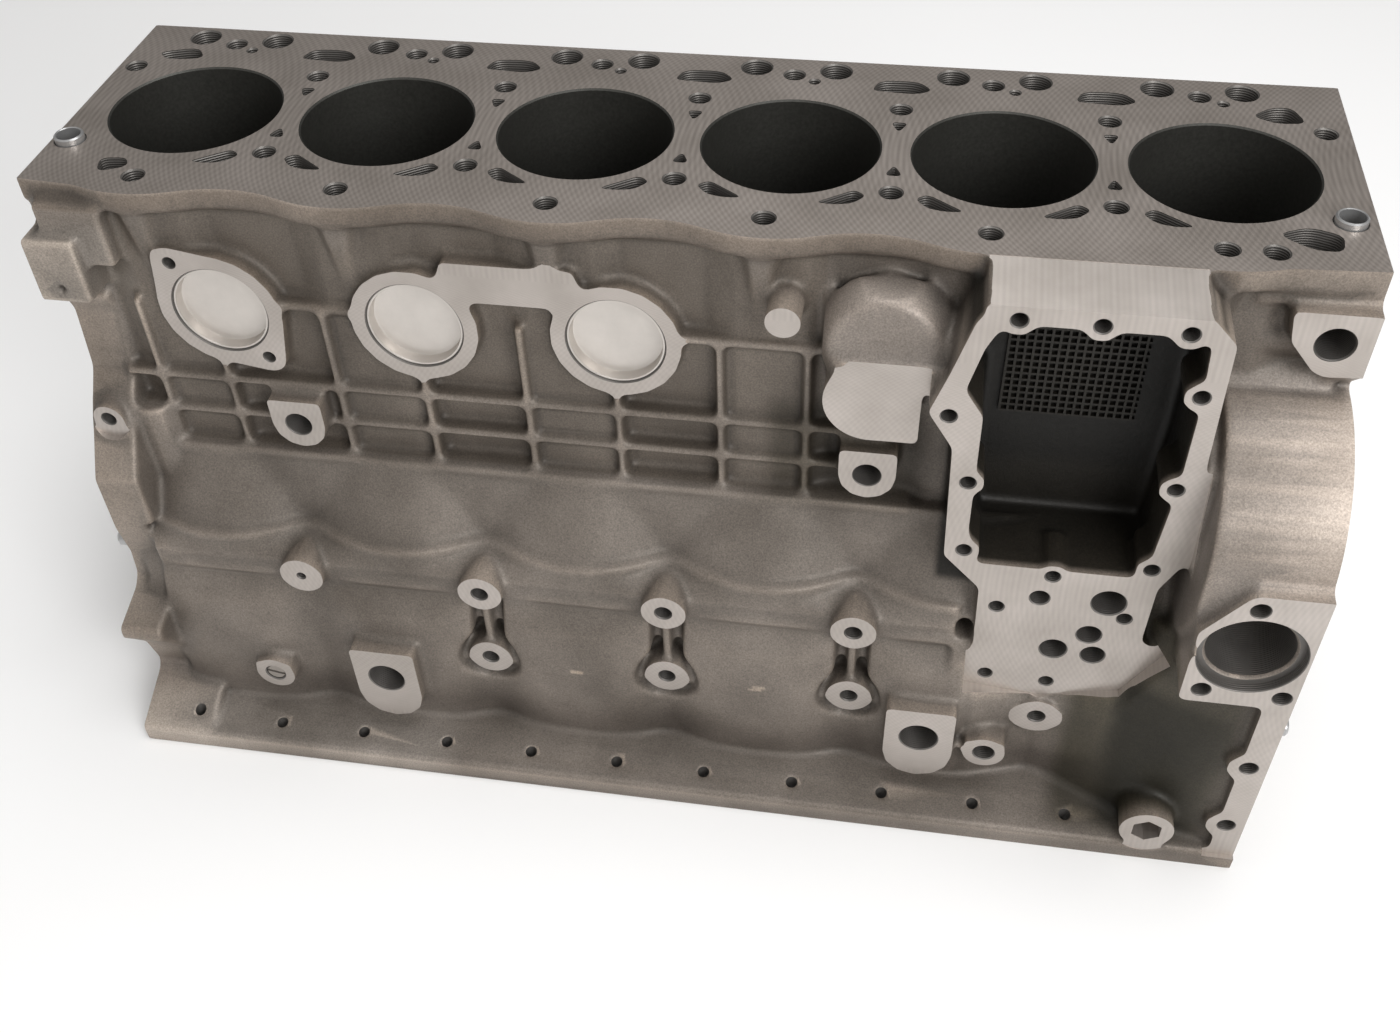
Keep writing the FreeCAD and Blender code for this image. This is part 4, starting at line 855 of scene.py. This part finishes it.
def cup(radius, depth, sheet):
    """A plug pressed from sheet, open side up at height 0."""
    inner, floor = radius - sheet, sheet - depth
    outside = [(-depth, inner - 2), (-depth + 0.6, radius - 0.7), (-depth + 1.8, radius), (-0.4, radius)]
    rim = [(0, radius - 0.4), (0, inner + 0.3), (-0.5, inner)]
    inside = [(floor + 2, inner), (floor + 0.5, inner - 0.6), (floor, inner - 2)]
    dish = [(floor + 0.35, inner * 0.6), (floor + 0.5, inner * 0.2)]
    return lathe(outside + rim + inside + dish, 96)


def core_plugs():
    form, faces = cup(PLUG_R, PLUG_DEPTH, PLUG_SHEET)
    for number, x in enumerate(PLUG_X, 1):
        place = placed(form, Y, -1, (x, PLUG_FACE_Y + PLUG_LIP, PLUG_Z))
        piece("plug_%d" % number, place, faces, PLUG_STEEL, "plug_steel", ["core_plug_%d" % number])


def cam_fittings():
    """The cup behind the camshaft and the bush at its front."""
    form, faces = cup(30.0, PLUG_DEPTH, PLUG_SHEET)
    place = placed(form, X, -1, (REAR_X + PLUG_LIP, CAM_Y, CAM_Z))
    piece("cam_cup", place, faces, PLUG_STEEL, "plug_steel", ["cam_plug"])
    outside = [(-24, 27.1), (-24, 28.2), (-23.6, 28.6), (-0.4, 28.6), (0, 28.2)]
    form, faces = sleeve(outside + [(0, 27.5), (-0.5, 27.0), (-23.5, 27.0)])
    place = placed(form, X, 1, (FRONT_X, CAM_Y, CAM_Z))
    piece("bush", place, faces, BUSH_METAL, "bush_metal", ["cam_bush"])


def sleeve(rings, sides=64):
    """A turned ring: the profile closes on itself."""
    form, faces = lathe(rings, sides)
    faces = faces[1:-1]
    last = (len(rings) - 1) * sides
    for i in range(sides):
        j = (i + 1) % sides
        faces.append((last + i, last + j, j, i))
    return form, faces


def dowel_rings():
    """Two rings that centre the head, with chamfered rims."""
    radius, wall, low, high = 8.6, 1.6, DECK_Z - 8, DECK_Z + 4
    inner = radius - wall
    rings = [(low, inner), (low, radius - 0.4), (low + 0.5, radius), (high - 0.8, radius)]
    rings += [(high, radius - 0.8), (high, inner + 0.4), (high - 0.4, inner)]
    parts = []
    for x in (MAIN_X[0], MAIN_X[-1]):
        form, faces = sleeve(rings, 48)
        parts.append((form + (x, DOWEL_RING_Y, 0), faces))
    piece("dowel_rings", *gathered(parts), DOWEL_STEEL, "dowel_steel", ["head_dowel_rings"])


def end_dowels():
    """Pins with a chamfered end, two in each end face."""
    rings = [(-14, 5.4), (-13.4, 6), (8.6, 6), (10, 4.8)]
    for name, face, sign, places in (("rear", REAR_X, -1, REAR_DOWELS), ("front", FRONT_X, 1, FRONT_DOWELS)):
        parts = []
        for y, z in places:
            form, faces = lathe(rings, 32)
            parts.append((placed(form, X, sign, (face, y, z)), faces))
        piece(name + "_pins", *gathered(parts), DOWEL_STEEL, "dowel_steel", [name + "_dowels"])


def socket_plug(name, node, face, sign):
    """A threaded gallery plug with its hexagon socket."""
    origin = (face, GALLERY_Y, GALLERY_Z)
    form, faces = lathe([(-12, 6.6), (-11.2, 7.4), (-0.6, 7.4), (0, 6.8)], 48)
    obj = piece(name, placed(form, X, sign, origin), faces, FITTING, "fitting_steel", [node])
    socket, faces = lathe([(-7, 4.6), (1, 4.6)], 6)
    cut(obj, new_object("socket", placed(socket, X, sign, origin), faces, [FITTING]))
    crisp_edges(obj, 30)


def drain_screw():
    """The slotted screw plug: a thread to its head, with a rounded edge."""
    origin = (DRAIN[0], SMALL_PORT_Y + 1, DRAIN[1])
    thread = [(-11 + k * 0.5, 6.5 - 0.35 * (k % 2)) for k in range(20)]
    form, faces = lathe([(-12, 5.6)] + thread + [(-0.6, 6.5), (0, 5.9)], 48)
    obj = piece("drain_screw", placed(form, Y, -1, origin), faces, FITTING, "fitting_steel", ["drain_plug"])
    spin = Matrix.Rotation(math.radians(12), 4, "Y")
    slot, faces = box_faces((-8, 8), (-4, 3), (-1, 1))
    slot = [tuple(Vector(origin) + spin @ Vector(c)) for c in slot]
    cut(obj, new_object("slot", slot, faces, [FITTING]))
    crisp_edges(obj, 30)


def main_caps():
    """The caps keep their CAD form, with cast edges rounded."""
    for number in range(1, 8):
        corners, triangles = cad_mesh("main_cap_%d" % number)
        obj = piece("cap_%d" % number, corners, [tuple(t) for t in triangles], CAP_CAST, "cap_iron",
                    ["main_cap_%d" % number])
        round_edges(obj, 1.2)


def round_edges(obj, width):
    """Joins flat facets and rounds the edges between them."""
    flat = obj.modifiers.new("flat", "DECIMATE")
    flat.decimate_type = "DISSOLVE"
    flat.angle_limit = math.radians(2)
    bevel = obj.modifiers.new("edges", "BEVEL")
    bevel.width = width * MM
    bevel.segments = 2
    bevel.limit_method = "ANGLE"
    bevel.angle_limit = math.radians(40)
    apply_modifiers(obj)
    crisp_edges(obj, 35)


def cap_bolts():
    """Hexagon bolts with a washer face, chamfered heads and rolled shanks."""
    parts = []
    ends = [min(max(x, REAR_X + 13), FRONT_X - 13) for x in MAIN_X]
    for x in ends:
        for y in (-CAP_BOLT_Y, CAP_BOLT_Y):
            origin = (x, y, CAP_PAD_Z)
            head, faces = lathe([(-10, 8.2), (-9.2, 9.8), (-0.6, 9.8), (-0.6, 9.0), (0, 9.0)], 6)
            parts.append((head + origin, faces))
            shank, faces = lathe([(-1, 6), (86, 6), (87, 5)], 24)
            parts.append((shank + origin, faces))
    piece("cap_bolts", *gathered(parts), BOLT_STEEL, "bolt_steel", ["main_cap_bolts"])


def cooler_grid():
    """The waffle pattern cast into the back wall of the oil-cooler opening."""
    x0, x1, z0, z1, back, pitch, half = 192.0, 268.0, 207.0, 297.0, -77.5, 4.6, 0.7
    parts = []
    for i in range(int((x1 - x0) / pitch) + 1):
        x = x0 + i * pitch
        parts.append(box_faces((x - half, x + half), (back - 3.2, back), (z0, z1)))
    for i in range(int((z1 - z0) / pitch) + 1):
        z = z0 + i * pitch
        parts.append(box_faces((x0, x1), (back - 3.0, back), (z - half, z + half)))
    piece("cooler_grid", *gathered(parts), CAST, "casting", ["cylinder_block"])


cylinder_block()
core_plugs()
cam_fittings()
dowel_rings()
end_dowels()
socket_plug("rear_gallery_screw", "gallery_plug_rear", REAR_X + 1, -1)
socket_plug("front_gallery_screw", "gallery_plug_front", FRONT_X - 1, 1)
drain_screw()
main_caps()
cap_bolts()
cooler_grid()


# ---- light, floor and camera ----

def area_light(name, place, aim, width, height, power):
    """A rectangular lamp at a place, turned to its aim."""
    lamp = bpy.data.lights.new(name, "AREA")
    lamp.shape = "RECTANGLE"
    lamp.size, lamp.size_y, lamp.energy = width, height, power
    obj = bpy.data.objects.new(name, lamp)
    obj.location = place
    obj.rotation_euler = (Vector(aim) - Vector(place)).to_track_quat("-Z", "Y").to_euler()
    bpy.context.scene.collection.objects.link(obj)


def studio():
    """A white floor, a grey-to-white room that the camera sees as white, and two soft lamps."""
    corners, faces = box_faces((-3000, 3000), (-3000, 3000), (RAIL_Z - 12, RAIL_Z - 0.2))
    paper = material("paper", (0.9, 0.9, 0.9), 0.9, 0.0)[0]
    new_object("floor", corners, faces, [paper])
    world = bpy.data.worlds.new("room")
    bpy.context.scene.world = world
    world.use_nodes = True
    nodes, links = world.node_tree.nodes, world.node_tree.links
    nodes.clear()
    rays = nodes.new("ShaderNodeLightPath")
    place = nodes.new("ShaderNodeTexCoord")
    parts = nodes.new("ShaderNodeSeparateXYZ")
    links.new(place.outputs["Generated"], parts.inputs[0])
    toward = calc(nodes, links, "ADD", calc(nodes, links, "MULTIPLY", parts.outputs[1], -0.5), 0.5)
    tone = ramp_color(nodes, links, toward, 0.1, 0.8, (0.16, 0.16, 0.16), (1, 0.98, 0.96))
    room, white = nodes.new("ShaderNodeBackground"), nodes.new("ShaderNodeBackground")
    links.new(tone, room.inputs["Color"])
    room.inputs["Strength"].default_value = 0.6
    white.inputs["Color"].default_value = (1, 1, 1, 1)
    mix, out = nodes.new("ShaderNodeMixShader"), nodes.new("ShaderNodeOutputWorld")
    links.new(rays.outputs["Is Camera Ray"], mix.inputs[0])
    links.new(room.outputs[0], mix.inputs[1])
    links.new(white.outputs[0], mix.inputs[2])
    links.new(mix.outputs[0], out.inputs["Surface"])
    area_light("ceiling", (0.3, 0.3, 2.6), (0, 0, 0.1), 2.4, 1.6, 46)
    area_light("window", (1.5, -1.9, 1.5), (0.1, 0, 0.1), 1.4, 1.2, 48)


def photo_camera():
    """The photo's camera, worked out from the bores, the deck and the side faces."""
    lens = bpy.data.cameras.new("camera")
    lens.sensor_width = 36.0
    lens.lens = 37.711
    lens.clip_end = 20.0
    obj = bpy.data.objects.new("camera", lens)
    obj.location = (0.1371, -0.7452, 0.7565)
    obj.rotation_euler = [math.radians(a) for a in (45.710, 1.3543, 9.0879)]
    bpy.context.scene.collection.objects.link(obj)
    bpy.context.scene.camera = obj


studio()
photo_camera()
bpy.context.scene.view_settings.view_transform = "Standard"
